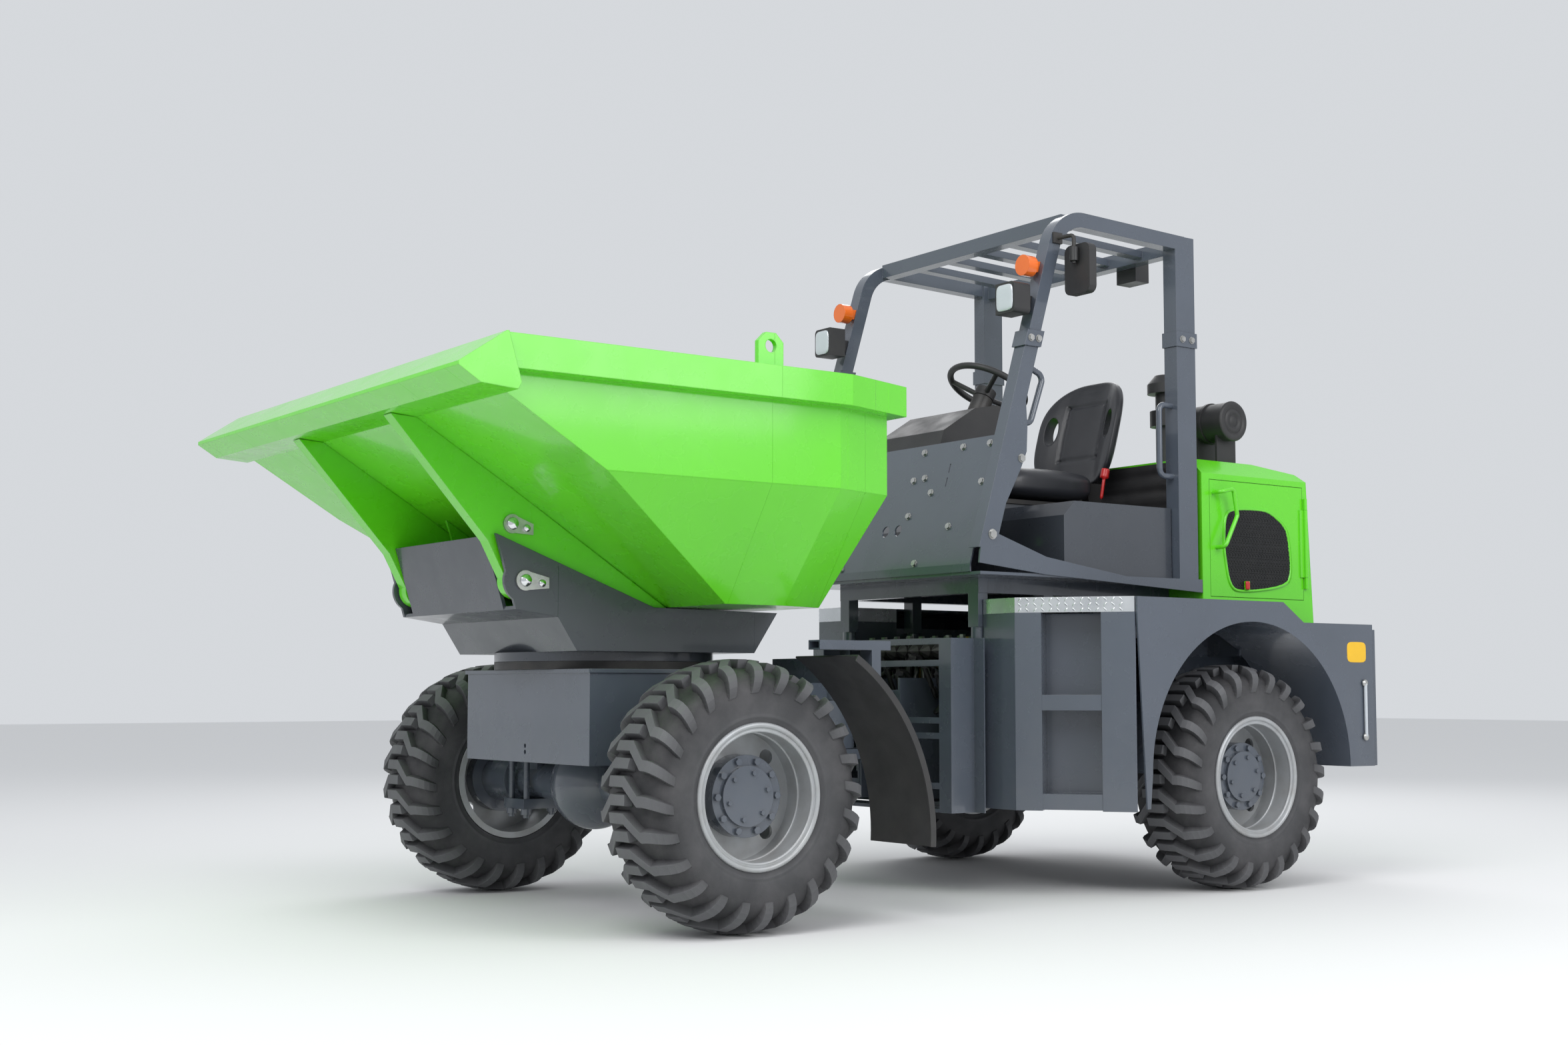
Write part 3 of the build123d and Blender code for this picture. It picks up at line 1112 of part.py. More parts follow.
def mirrored(plan, inset):
    """A closed plan outline from its left half, taken in by an inset."""
    left = [(x - inset, front_axle_y + y + (inset if index == 0 else -inset if index == len(plan) - 1 else 0))
            for index, (x, y) in enumerate(plan)]
    return left + [(-x, y) for x, y in reversed(left)]


def skip_body(inset, top, front_open):
    """The skip's outer shape, or with an inset the hollow inside it, open to the front above the lip."""
    with BuildPart() as body:
        with BuildSketch(Plane.XY.offset(skip_floor + inset)) as low:
            with BuildLine():
                Polyline(*mirrored(floor_plan, inset), close=True)
            make_face()
        with BuildSketch(Plane.XY.offset(skip_kink)) as high:
            with BuildLine():
                Polyline(*mirrored(kink_plan, inset), close=True)
            make_face()
        loft([low.sketch.faces()[0], high.sketch.faces()[0]], ruled=True)
        plate_z(mirrored(kink_plan, inset), (skip_kink, top))
        front = front_axle_y + side_front + (8 if front_open else 0)
        kink_y = front_axle_y + kink_plan[0][1] + inset
        plate_x([(kink_y, skip_kink), (front_axle_y + slope_end[0] + inset, slope_end[1] + inset * 0.4),
                 (front, slope_end[1] + (16 if front_open else 24)), (front, top), (kink_y + 1, top)],
                (-skip_half_width + inset, skip_half_width - inset))
    return body.part


with BuildPart() as skip:
    add(skip_body(0, skip_rim_top, False))
    rim_plan = [(skip_half_width + rim_overhang, side_front), (skip_half_width + rim_overhang, 305.0),
                (skip_half_width - 50, 622.0)]
    plate_z(mirrored(rim_plan, 0), (rim_low, skip_rim_top))
    plate_x([(front_axle_y - 940, 1700), (front_axle_y + side_front + 8, skip_rim_top),
             (front_axle_y + side_front, skip_rim_top), (front_axle_y - front_overhang, rim_low),
             (front_axle_y - front_overhang, rim_low - 12), (front_axle_y - 1073, 1688),
             (front_axle_y - 951, 1679)], (-lip_half, lip_half))
    for side in both_sides:
        plate_x([(front_axle_y + eye_y[0], skip_rim_top - 1), (front_axle_y + eye_y[0], eye_top - 30),
                 (front_axle_y + eye_y[0] + 30, eye_top), (front_axle_y + eye_y[1] - 30, eye_top),
                 (front_axle_y + eye_y[1], eye_top - 30), (front_axle_y + eye_y[1], skip_rim_top - 1)],
                span(side, skip_half_width - 8, skip_half_width + 12))
    add(skip_body(skip_wall, skip_rim_top + 1, True), mode=Mode.SUBTRACT)
    for side in both_sides:
        disc_x((front_axle_y, eye_top - 44), eye_hole_radius, span(side, skip_half_width - 20, skip_half_width + 20),
               mode=Mode.SUBTRACT)
floor_side = floor_plan[-1][0] - skip_wall
floor_front = front_axle_y + floor_plan[0][1] + skip_wall
floor_rear = front_axle_y + floor_plan[-1][1] - skip_wall
save_panels(skip, "skip", cells_between([floor_side, skip_half_width - skip_wall - 4], [floor_front, floor_rear],
                                        (skip_kink, 2 * skip_rim_top))
            + cells_between([floor_side], [floor_front, floor_rear], (0, skip_kink)))

with BuildPart() as ribs:
    for side in both_sides:
        plate_x([(front_axle_y - 1040, 1683.5), (front_axle_y - 951, 1678.5), (front_axle_y - 605, 1469),
                 (front_axle_y + 3, skip_floor - 1), (front_axle_y - 12, skip_floor - 7),
                 (front_axle_y - 61, skip_floor + 1), (front_axle_y - 480, 1120), (tip_pivot[0], tip_pivot[1] - 55),
                 (tip_pivot[0] - 60, tip_pivot[1] + 10), (front_axle_y - 690, 1290)], span(side, *rib_x))
        disc_x(tip_pivot, 60, span(side, *rib_x))
        disc_x(tip_pivot, tip_pin_radius + running_gap, span(side, rib_x[0] - 1, rib_x[1] + 1), mode=Mode.SUBTRACT)
        disc_x(rod_pin, rod_pin_radius, span(side, cylinder_x - eye_half - 14, rib_x[0] + 2))
        plate_x([(front_axle_y - 520, 1415), (front_axle_y - 360, 1314), (front_axle_y - 405, 1276),
                 (front_axle_y - 470, 1276)], span(side, cylinder_x - eye_half - 14, cylinder_x - eye_half - 2))
save(ribs, "skip_ribs")

with BuildPart() as keepers:
    for side in both_sides:
        face_x = span(side, rib_x[1], rib_x[1] + 8)
        disc_x(keeper_pin, 32, face_x)
        plate_x([(keeper_pin[0] + 6, keeper_pin[1] - 30), (keeper_pin[0] + 78, keeper_pin[1] - 34),
                 (keeper_pin[0] + 78, keeper_pin[1] + 2), (keeper_pin[0] + 6, keeper_pin[1] + 30)], face_x)
save(keepers, "rib_keepers")

# ---------------------------------------------------------------- steering cylinder
steer_barrel_radius = 32.0
steer_rod_radius = 15.0
steer_arm_y = joint_y - 90
steer_pin_radius = 20.0

with BuildPart() as steer_barrel:
    round_bar((steer_pin_x, steer_lug_y, steer_z - 37), (steer_pin_x, steer_lug_y, steer_z + 37), 34)
    round_bar((steer_pin_x, steer_lug_y - 10, steer_z), (steer_pin_x, steer_lug_y - 285, steer_z), steer_barrel_radius)
    round_bar((steer_pin_x, steer_lug_y - 36, steer_z), (steer_pin_x, steer_lug_y - 286, steer_z),
              steer_rod_radius + running_gap, mode=Mode.SUBTRACT)
    round_bar((steer_pin_x, steer_lug_y, steer_z - 62), (steer_pin_x, steer_lug_y, steer_z + 62), steer_pin_radius)
save(steer_barrel, "steer_barrel")

with BuildPart() as steer_rod:
    round_bar((steer_pin_x, steer_lug_y - 165, steer_z), (steer_pin_x, steer_arm_y + 5, steer_z), steer_rod_radius)
    eye_z = (steer_z - 32 + seat_gap, steer_z + 28)
    round_bar((steer_pin_x, steer_arm_y, eye_z[0]), (steer_pin_x, steer_arm_y, eye_z[1]), 28)
save(steer_rod, "steer_rod")
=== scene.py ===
"""Articulated site dumper with a slewing skip: looks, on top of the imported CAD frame."""
import json
import bmesh
import bpy
import numpy as np
from mathutils import Matrix, Vector


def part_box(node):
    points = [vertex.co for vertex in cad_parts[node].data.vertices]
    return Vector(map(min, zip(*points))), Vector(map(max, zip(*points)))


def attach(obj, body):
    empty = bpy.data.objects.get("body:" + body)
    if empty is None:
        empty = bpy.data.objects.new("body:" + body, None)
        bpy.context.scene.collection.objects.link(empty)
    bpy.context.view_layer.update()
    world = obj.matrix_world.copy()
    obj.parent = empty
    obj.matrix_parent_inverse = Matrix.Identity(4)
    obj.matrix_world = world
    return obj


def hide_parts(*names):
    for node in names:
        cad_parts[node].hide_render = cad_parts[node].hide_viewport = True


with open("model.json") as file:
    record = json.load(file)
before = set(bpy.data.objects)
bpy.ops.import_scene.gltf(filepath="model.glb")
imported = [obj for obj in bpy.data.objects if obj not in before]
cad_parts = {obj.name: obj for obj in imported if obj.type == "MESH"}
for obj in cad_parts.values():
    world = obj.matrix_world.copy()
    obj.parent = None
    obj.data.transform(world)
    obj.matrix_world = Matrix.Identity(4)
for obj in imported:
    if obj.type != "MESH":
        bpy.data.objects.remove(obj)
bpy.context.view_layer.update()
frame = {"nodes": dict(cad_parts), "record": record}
nodes = frame["nodes"]
front_axle_y = -1.0575

# ---------------------------------------------------------------- studio
# A pale level floor, an even bright sky and three soft lamps: a broad one high over the front,
# one on the driver's left side and a weaker one behind. The camera stands low at the front left.
camera_place = Vector((6.0665, -4.5857, 0.7977))
camera_forward = Vector((-0.8034, 0.5907, 0.0750)).normalized()
camera_data = bpy.data.cameras.new("camera")
camera_data.lens = 43.44
camera_data.sensor_width = 36.0
camera_data.shift_x = -0.0155
camera_data.shift_y = 0.0159
camera = bpy.data.objects.new("camera", camera_data)
right = camera_forward.cross(Vector((0, 0, 1))).normalized()
above = right.cross(camera_forward)
camera.matrix_world = Matrix((right, above, -camera_forward)).transposed().to_4x4()
camera.matrix_world.translation = camera_place
bpy.context.scene.collection.objects.link(camera)
bpy.context.scene.camera = camera

floor_mesh = bpy.data.meshes.new("floor")
floor_reach = 40.0
floor_corners = [(x * floor_reach, y * floor_reach, 0) for x, y in ((-1, -1), (1, -1), (1, 1), (-1, 1))]
floor_mesh.from_pydata(floor_corners, [], [(0, 1, 2, 3)])
floor = bpy.data.objects.new("floor", floor_mesh)
bpy.context.scene.collection.objects.link(floor)
floor_finish = bpy.data.materials.new("pale_floor")
floor_finish.use_nodes = True
floor_shader = floor_finish.node_tree.nodes["Principled BSDF"]
floor_shader.inputs["Base Color"].default_value = (0.80, 0.80, 0.80, 1)
floor_shader.inputs["Roughness"].default_value = 0.85
floor_mesh.materials.append(floor_finish)

sky = bpy.data.worlds.new("studio_sky")
sky.use_nodes = True
sky.node_tree.nodes["Background"].inputs["Color"].default_value = (0.93, 0.96, 1.0, 1)
sky.node_tree.nodes["Background"].inputs["Strength"].default_value = 0.72
bpy.context.scene.world = sky
bpy.context.scene.view_settings.view_transform = "Standard"
for lamp_name, place, size, watts in (("key_lamp", (3.0, -5.0, 6.5), 5.0, 330),
                                      ("side_lamp", (7.0, 1.5, 4.5), 4.0, 190),
                                      ("back_lamp", (-5.0, 5.0, 5.5), 5.0, 150)):
    lamp_data = bpy.data.lights.new(lamp_name, "AREA")
    lamp_data.size = size
    lamp_data.energy = watts
    lamp = bpy.data.objects.new(lamp_name, lamp_data)
    lamp.location = place
    lamp.rotation_euler = (Vector((0, 0, 1.0)) - Vector(place)).to_track_quat("-Z", "Y").to_euler()
    bpy.context.scene.collection.objects.link(lamp)


# ---------------------------------------------------------------- painted plate
# Folded and welded steel plate under sprayed gloss enamel. Dust lies in soft patches, thickest
# near the ground, the enamel has a faint orange-peel skin, and its edges are slightly rounded.
def finish(name, colour, patch=None, patchy=0.5, patch_scale=2.5, rough=(0.25, 0.45), metal=0.0, coat=0.0,
           grain=0.05, grain_scale=350.0, dust=0.0, edge=0.0, ground=0.9):
    """A node material. Colour is mixed with patch where soft noise is high, and dust grows towards the
    ground. A second noise sets the roughness between two values. Fine grain makes a bump over edges that are
    rounded by edge metres."""
    material = bpy.data.materials.new(name)
    material.use_nodes = True
    tree = material.node_tree
    shader = tree.nodes["Principled BSDF"]
    link = tree.links.new
    place = tree.nodes.new("ShaderNodeTexCoord").outputs["Object"]

    broad = tree.nodes.new("ShaderNodeTexNoise")
    broad.inputs["Scale"].default_value = patch_scale
    broad.inputs["Detail"].default_value = 7.0
    broad.inputs["Roughness"].default_value = 0.62
    link(place, broad.inputs["Vector"])
    spread = tree.nodes.new("ShaderNodeMapRange")
    spread.inputs["From Min"].default_value = 0.42
    spread.inputs["From Max"].default_value = 0.72
    spread.inputs["To Max"].default_value = patchy
    link(broad.outputs["Fac"], spread.inputs["Value"])
    tint = tree.nodes.new("ShaderNodeMix")
    tint.data_type = "RGBA"
    tint.inputs["A"].default_value = (*colour, 1)
    tint.inputs["B"].default_value = (*(patch or [c * 0.82 for c in colour]), 1)
    link(spread.outputs["Result"], tint.inputs["Factor"])
    colour_out = tint.outputs["Result"]

    if dust > 0:
        split = tree.nodes.new("ShaderNodeSeparateXYZ")
        link(place, split.inputs["Vector"])
        low = tree.nodes.new("ShaderNodeMapRange")
        low.inputs["From Min"].default_value = ground
        low.inputs["From Max"].default_value = 0.0
        low.inputs["To Max"].default_value = dust
        low.inputs["To Min"].default_value = dust * 0.12
        link(split.outputs["Z"], low.inputs["Value"])
        speck = tree.nodes.new("ShaderNodeTexNoise")
        speck.inputs["Scale"].default_value = 14.0
        speck.inputs["Detail"].default_value = 9.0
        link(place, speck.inputs["Vector"])
        amount = tree.nodes.new("ShaderNodeMath")
        amount.operation = "MULTIPLY"
        link(low.outputs["Result"], amount.inputs[0])
        link(speck.outputs["Fac"], amount.inputs[1])
        dusted = tree.nodes.new("ShaderNodeMix")
        dusted.data_type = "RGBA"
        dusted.inputs["B"].default_value = (0.30, 0.27, 0.23, 1)
        link(amount.outputs["Value"], dusted.inputs["Factor"])
        link(colour_out, dusted.inputs["A"])
        colour_out = dusted.outputs["Result"]
    link(colour_out, shader.inputs["Base Color"])

    streak = tree.nodes.new("ShaderNodeTexNoise")
    streak.inputs["Scale"].default_value = 9.0
    streak.inputs["Detail"].default_value = 5.0
    link(place, streak.inputs["Vector"])
    sheen_range = tree.nodes.new("ShaderNodeMapRange")
    sheen_range.inputs["From Min"].default_value = 0.3
    sheen_range.inputs["From Max"].default_value = 0.7
    sheen_range.inputs["To Min"].default_value = rough[0]
    sheen_range.inputs["To Max"].default_value = rough[1]
    link(streak.outputs["Fac"], sheen_range.inputs["Value"])
    link(sheen_range.outputs["Result"], shader.inputs["Roughness"])

    fine = tree.nodes.new("ShaderNodeTexNoise")
    fine.inputs["Scale"].default_value = grain_scale
    fine.inputs["Detail"].default_value = 3.0
    link(place, fine.inputs["Vector"])
    bump = tree.nodes.new("ShaderNodeBump")
    bump.inputs["Strength"].default_value = grain
    bump.inputs["Distance"].default_value = 0.001
    link(fine.outputs["Fac"], bump.inputs["Height"])
    if edge > 0:
        rounded = tree.nodes.new("ShaderNodeBevel")
        rounded.samples = 4
        rounded.inputs["Radius"].default_value = edge
        link(rounded.outputs["Normal"], bump.inputs["Normal"])
    link(bump.outputs["Normal"], shader.inputs["Normal"])
    shader.inputs["Metallic"].default_value = metal
    shader.inputs["Coat Weight"].default_value = coat
    shader.inputs["Coat Roughness"].default_value = 0.08
    return material


green_paint = finish("green_enamel", (0.125, 0.66, 0.012), (0.105, 0.57, 0.010), 0.5, 1.6, (0.22, 0.34),
                     coat=0.5, grain=0.05, dust=0.08, edge=0.004)
grey_paint = finish("blue_grey_enamel", (0.078, 0.094, 0.122), (0.062, 0.076, 0.098), 0.6, 2.2, (0.18, 0.32),
                    coat=0.6, grain=0.06, dust=0.16, edge=0.003)
dark_paint = finish("dark_grey_enamel", (0.052, 0.060, 0.074), (0.043, 0.050, 0.061), 0.6, 2.4, (0.22, 0.38),
                    coat=0.4, grain=0.06, dust=0.15, edge=0.003)
silver_paint = finish("silver_rim_paint", (0.42, 0.44, 0.46), (0.30, 0.30, 0.30), 0.7, 9.0, (0.3, 0.5), metal=0.35,
                      grain=0.08, dust=0.5, edge=0.002)
yellow_paint = finish("yellow_casting_paint", (0.72, 0.36, 0.02), (0.45, 0.24, 0.03), 0.6, 5.0, (0.4, 0.6),
                      grain=0.4, grain_scale=120, dust=0.3, edge=0.004)
zinc = finish("zinc_plate", (0.50, 0.50, 0.49), (0.34, 0.34, 0.32), 0.7, 40.0, (0.22, 0.4), metal=0.9,
              grain=0.1)
bright_plate = finish("bright_chequer_plate", (0.62, 0.64, 0.66), (0.5, 0.52, 0.54), 0.6, 12.0, (0.2, 0.38),
                      metal=0.9, grain=0.1, dust=0.2, edge=0.002)
polished_rod = finish("hard_chrome", (0.75, 0.76, 0.78), (0.7, 0.7, 0.72), 0.4, 20.0, (0.06, 0.14), metal=1.0,
                      grain=0.02)
black_plastic = finish("black_moulding", (0.022, 0.022, 0.024), (0.035, 0.034, 0.033), 0.6, 6.0, (0.38, 0.58),
                       grain=0.25, grain_scale=600, dust=0.12, edge=0.002)
black_casting = finish("black_casting", (0.02, 0.02, 0.021), (0.045, 0.04, 0.036), 0.7, 7.0, (0.42, 0.65),
                       grain=0.4, grain_scale=160, dust=0.3, edge=0.002)
orange_lens = finish("orange_lens", (0.85, 0.16, 0.01), (0.7, 0.12, 0.01), 0.4, 8.0, (0.12, 0.2), coat=0.6,
                     grain=0.02, edge=0.004)
slot_finishes = {"green_paint": green_paint, "grey_paint": grey_paint, "dark_grey_paint": dark_paint,
                 "silver_paint": silver_paint, "yellow_paint": yellow_paint, "zinc": zinc,
                 "chequer_plate": bright_plate, "chrome_rod": polished_rod, "black_plastic": black_plastic,
                 "black_metal": black_casting, "orange_lens": orange_lens}
for subpart in frame["record"]["subparts"]:
    if subpart["material_slot"] in slot_finishes:
        part = nodes[subpart["node"]]
        part.data.materials.clear()
        part.data.materials.append(slot_finishes[subpart["material_slot"]])


# ---------------------------------------------------------------- tyres
# Wide cross-ply tyres of black rubber, moulded in one piece with deep alternating zigzag lugs
# that run over the shoulder, and faint rings on the sidewalls. A pale grey colour lies on the
# lugs' treads and on the sidewalls, partly dust and partly painted light, and the lugs' feet and
# the grooves between them are kept dark as painted shade.
def around(steps):
    """Evenly spaced angles over a full turn, without the last one, which would repeat the first."""
    return np.linspace(0, 2 * np.pi, steps + 1)[:-1]


def side_name(side):
    """The driver's left is +X."""
    return "left" if side > 0 else "right"


def sheet_mesh(name, grids, material, body, smooth=True, loop_u=False, loop_v=False, shades=None):
    """One object from point grids of shape (..., nu, nv, 3): each grid's neighbours join as quads, closing on
    itself along u or v where asked. shades gives each point its share of the pale dust colour, which on the
    tyres is partly dust, partly painted light on the lugs' tops and painted shade in the grooves."""
    grids = np.asarray(grids, float)
    grids = grids.reshape((-1,) + grids.shape[-3:])
    count, nu, nv, _ = grids.shape
    u = np.arange(nu if loop_u else nu - 1)
    v = np.arange(nv if loop_v else nv - 1)
    uu, vv = np.meshgrid(u, v, indexing="ij")
    un, vn = (uu + 1) % nu, (vv + 1) % nv
    quads = np.stack([uu * nv + vv, un * nv + vv, un * nv + vn, uu * nv + vn], -1).reshape(-1, 4)
    quads = (quads[None] + np.arange(count)[:, None, None] * nu * nv).reshape(-1, 4)
    mesh = bpy.data.meshes.new(name)
    mesh.from_pydata(grids.reshape(-1, 3).tolist(), [], quads.tolist())
    mesh.polygons.foreach_set("use_smooth", np.full(len(quads), smooth))
    if shades is not None:
        layer = mesh.attributes.new("dust", "FLOAT", "POINT")
        layer.data.foreach_set("value", np.asarray(shades, np.float32).reshape(-1))
    mesh.materials.append(material)
    piece = bpy.data.objects.new(name, mesh)
    bpy.context.scene.collection.objects.link(piece)
    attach(piece, body)
    return piece


# The pale colour comes in through each point's dust attribute: partly dust, partly painted light on the lugs'
# tops, and kept low in the grooves and at the lugs' feet as painted shade.
rubber = finish("dust_and_shade_tread_rubber", (0.014, 0.014, 0.016), (0.060, 0.057, 0.060), 0.9, 6.5, (0.5, 0.78),
                grain=0.5, grain_scale=260)
rubber_tree = rubber.node_tree
dust_and_shade_share = rubber_tree.nodes.new("ShaderNodeAttribute")
dust_and_shade_share.attribute_name = "dust"
dust_and_shade_mix = rubber_tree.nodes.new("ShaderNodeMix")
dust_and_shade_mix.data_type = "RGBA"
dust_and_shade_mix.inputs["B"].default_value = (0.135, 0.137, 0.145, 1)
rubber_shader = rubber_tree.nodes["Principled BSDF"]
rubber_tree.links.new(rubber_shader.inputs["Base Color"].links[0].from_socket, dust_and_shade_mix.inputs["A"])
rubber_tree.links.new(dust_and_shade_share.outputs["Fac"], dust_and_shade_mix.inputs["Factor"])
rubber_tree.links.new(dust_and_shade_mix.outputs["Result"], rubber_shader.inputs["Base Color"])

tyre_low, tyre_high = (np.array(corner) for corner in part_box("tyre_front_left"))
tyre_radius = (tyre_high[2] - tyre_low[2]) / 2
tyre_half = (tyre_high[0] - tyre_low[0]) / 2
lug_height = 0.030
lugs_round = 24
belly = 0.325 / 0.45 * tyre_radius
bead_radius = 0.237
bead_inset, wall_swell = 0.027, 0.023
crown_bow = 2 / 2.7
barrel_radius, barrel_half, barrel_step = 0.224, 0.10, 0.006
half_steps, fine_steps, turn_steps = 44, 400, 96
# The carcass's pale share along its section: low at the crown as painted shade in the grooves between the lugs,
# higher on the sidewalls as dust.
dust_and_shade_places, dust_and_shade_amounts = (0, 0.8, 1.1, 1.5, 2.0), (0.03, 0.08, 0.22, 0.34, 0.20)

# From just past the crown to the toe on the shoulder: the place on the meridian, the drift round
# the tyre, the width, and the share of the full height.
lug_path = np.array([(-0.125, 0.000, 0.042, -0.006), (-0.120, 0.000, 0.042, 1.00), (0.000, 0.000, 0.042, 1.00),
                     (0.078, 0.000, 0.043, 1.00), (0.090, 0.004, 0.045, 1.00), (0.320, 0.058, 0.045, 1.00),
                     (0.335, 0.061, 0.044, 1.00), (0.420, 0.061, 0.044, 1.00), (0.500, 0.064, 0.045, 1.00),
                     (0.600, 0.070, 0.046, 0.96), (0.700, 0.078, 0.047, 0.82), (0.790, 0.086, 0.047, 0.60),
                     (0.870, 0.092, 0.045, 0.36), (0.950, 0.098, 0.042, 0.12), (0.970, 0.099, 0.041, -0.006)])
# Across a lug, in shares of its width: the place, the share of its height, and its pale share:
# high on the top as dust and painted light, low at the foot as painted shade.
lug_section = np.array([(-0.600, -0.15, 0.02), (-0.425, 0.94, 0.50), (-0.400, 1.00, 0.75),
                        (0.400, 1.00, 0.75), (0.425, 0.94, 0.50), (0.600, -0.15, 0.02)])


def meridian(t):
    """The carcass half-section at t from 0 at the crown to 2 at the bead: a rounded box to the widest point,
    then an ellipse in to the rim. Gives distance outboard with radius, and the outward normal."""
    a = np.clip(t, 0, 1) * np.pi / 2
    b = np.clip(t - 1, 0, 1) * np.pi / 2
    upper = np.stack([(tyre_half - bead_inset + wall_swell) * np.sin(a) ** crown_bow,
                      belly + (tyre_radius - lug_height - belly) * np.cos(a) ** crown_bow], -1)
    lower = np.stack([tyre_half - bead_inset + wall_swell * np.cos(b), belly - (belly - bead_radius) * np.sin(b)],
                     -1)
    point = np.where((t <= 1)[..., None], upper, lower)
    step = np.gradient(point, axis=0)
    step = step / np.maximum(np.linalg.norm(step, axis=-1, keepdims=True), 1e-9)
    return point, np.stack([-step[..., 1], step[..., 0]], -1)


def wheel_points(centre, out, radius, angle):
    """Points at a distance out from the wheel's centre plane, a radius and an angle about its axle."""
    return np.stack([centre[0] + out + 0 * radius * angle, centre[1] + radius * np.cos(angle),
                     centre[2] + radius * np.sin(angle)], -1)


def wheel_frame(corner):
    """A tyre's centre, the sign of the side it stands on, and the body it turns with."""
    low, high = (np.array(end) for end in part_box("tyre_" + corner))
    centre = (low + high) / 2
    return centre, np.sign(centre[0]), "wheel_" + corner


def tyre_carcass(centre, side):
    """A closed section, from bead to bead and back along the rim's barrel, turned round the axle. Two low
    rings stand on each sidewall."""
    t = np.linspace(0, 2, half_steps)
    point, normal = (np.concatenate([part[::-1], part[1:]]) for part in meridian(t))
    t = np.concatenate([t[::-1], t[1:]])
    hand = np.concatenate([-np.ones(half_steps), np.ones(half_steps - 1)])
    ridge = 0.0028 * (np.abs(t - 1.52) < 0.05) + 0.0022 * (np.abs(t - 1.8) < 0.04)
    out = hand * (point[:, 0] + ridge * normal[:, 0])
    radius = np.concatenate([point[:, 1] + ridge * normal[:, 1], np.full(4, barrel_radius)])
    out = np.concatenate([out, [out[-1] - barrel_step, barrel_half, -barrel_half, out[0] + barrel_step]])
    # Low at the crown as painted shade between the lugs, higher on the sidewalls as dust.
    dust = np.interp(np.concatenate([t, np.full(4, 2.0)]), dust_and_shade_places, dust_and_shade_amounts)
    grid = wheel_points(centre, side * out[:, None], radius[:, None], around(turn_steps)[None, :])
    return grid, np.repeat(dust[:, None], turn_steps, 1)


def tyre_lugs(centre):
    """Every lug of both halves as one grid each. The two halves alternate round the tyre."""
    t, drift, width, share = lug_path.T
    across, rise, dust = lug_section.T
    fine_t = np.linspace(0, 2, fine_steps)
    point, normal = (np.stack([np.interp(np.abs(t), fine_t, part[:, k]) for k in (0, 1)], -1)
                     for part in meridian(fine_t))
    crossed = np.where(t < 0, -1, 1)
    point[:, 0] *= crossed
    normal[:, 0] *= crossed
    lift = (lug_height - 0.0005) * np.where(share[:, None] < 0, -0.2, share[:, None] * rise[None, :])
    out = point[:, None, 0] + normal[:, None, 0] * lift
    radius = point[:, None, 1] + normal[:, None, 1] * lift
    bend = (drift[:, None] + across[None, :] * width[:, None]) / tyre_radius
    pitch = 2 * np.pi / lugs_round
    grids = []
    for hand in (-1, 1):
        starts = np.arange(lugs_round) * pitch + (0.5 * pitch if hand > 0 else 0)
        angle = starts[:, None, None] + bend[None]
        grid = wheel_points(centre, hand * np.broadcast_to(out, angle.shape),
                            np.broadcast_to(radius, angle.shape), angle)
        grids.append(grid if hand < 0 else grid[:, :, ::-1])
    # Painted light on the lugs' tops and painted shade at their feet, fading towards the shoulder.
    shades = dust * np.interp(t, [0.5, 1.0], [1.0, 0.4])[:, None]
    return np.concatenate(grids), np.broadcast_to(shades, (2 * lugs_round,) + shades.shape)


corners = ("front_left", "front_right", "rear_left", "rear_right")
for corner in corners:
    centre, side, body = wheel_frame(corner)
    # dust here is each point's pale share: partly dust, partly painted light and painted shade.
    grid, dust = tyre_carcass(centre, side)
    carcass_piece = sheet_mesh("tyre_carcass_" + corner, grid, rubber, body, loop_u=True,
                               loop_v=True, shades=dust)
    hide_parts("tyre_" + corner)
    grids, dust = tyre_lugs(centre)
    sheet_mesh("tyre_lugs_" + corner, grids, rubber, body, smooth=False, shades=dust)

# ---------------------------------------------------------------- rim lock rings
# Multi-piece steel rims: a rounded side ring and a split lock ring sit in the gutter outside the
# rim's flange, sprayed silver with the rest, and a pressed bead runs round inside the barrel.
ring_sides = 24
for corner in corners:
    centre, side, body = wheel_frame(corner)
    for ring_name, ring_out, ring_radius, thick in (("side_ring", 0.150, 0.233, 0.0095),
                                                    ("lock_ring", 0.146, 0.216, 0.006),
                                                    ("barrel_bead", 0.070, 0.2115, 0.005)):
        out = ring_out + thick * np.cos(around(ring_sides))
        radius = ring_radius + thick * np.sin(around(ring_sides))
        ring = wheel_points(centre, side * out[:, None], radius[:, None], around(turn_steps)[None, :])
        sheet_mesh(f"{ring_name}_{corner}", ring if side < 0 else ring[::-1], silver_paint, body,
                   loop_u=True, loop_v=True)

# ---------------------------------------------------------------- seat
# One-piece moulded foam cushion and back under black vinyl. The cushion has side bolsters and
# sewn channels, and the back has a sewn panel between two oval slots. Both sit on the sliding
# steel base.
seat_vinyl = finish("black_seat_vinyl", (0.020, 0.021, 0.026), (0.03, 0.031, 0.036), 0.5, 7.0, (0.30, 0.44),
                    coat=0.15, grain=0.35, grain_scale=900, dust=0.0, edge=0.006)


def power(value, exponent):
    """A signed power, which squares off a circle into a rounded box."""
    return np.sign(value) * np.abs(value) ** exponent


def channel(distance, depth, width):
    """The depth of a sewn valley at a distance from its seam: a narrow bell."""
    return depth * np.exp(-(distance / width) ** 2)


def merge_poles(piece):
    """Joins the points that meet at a closed form's poles and turns its faces outwards."""
    shape = bmesh.new()
    shape.from_mesh(piece.data)
    bmesh.ops.remove_doubles(shape, verts=shape.verts, dist=0.00002)
    bmesh.ops.recalc_face_normals(shape, faces=shape.faces)
    shape.to_mesh(piece.data)
    shape.free()


def turn_and_tilt(turns, tilts):
    """Angles over a closed form: round it, and from one pole to the other."""
    return np.meshgrid(around(turns), np.linspace(-np.pi / 2, np.pi / 2, tilts), indexing="ij")


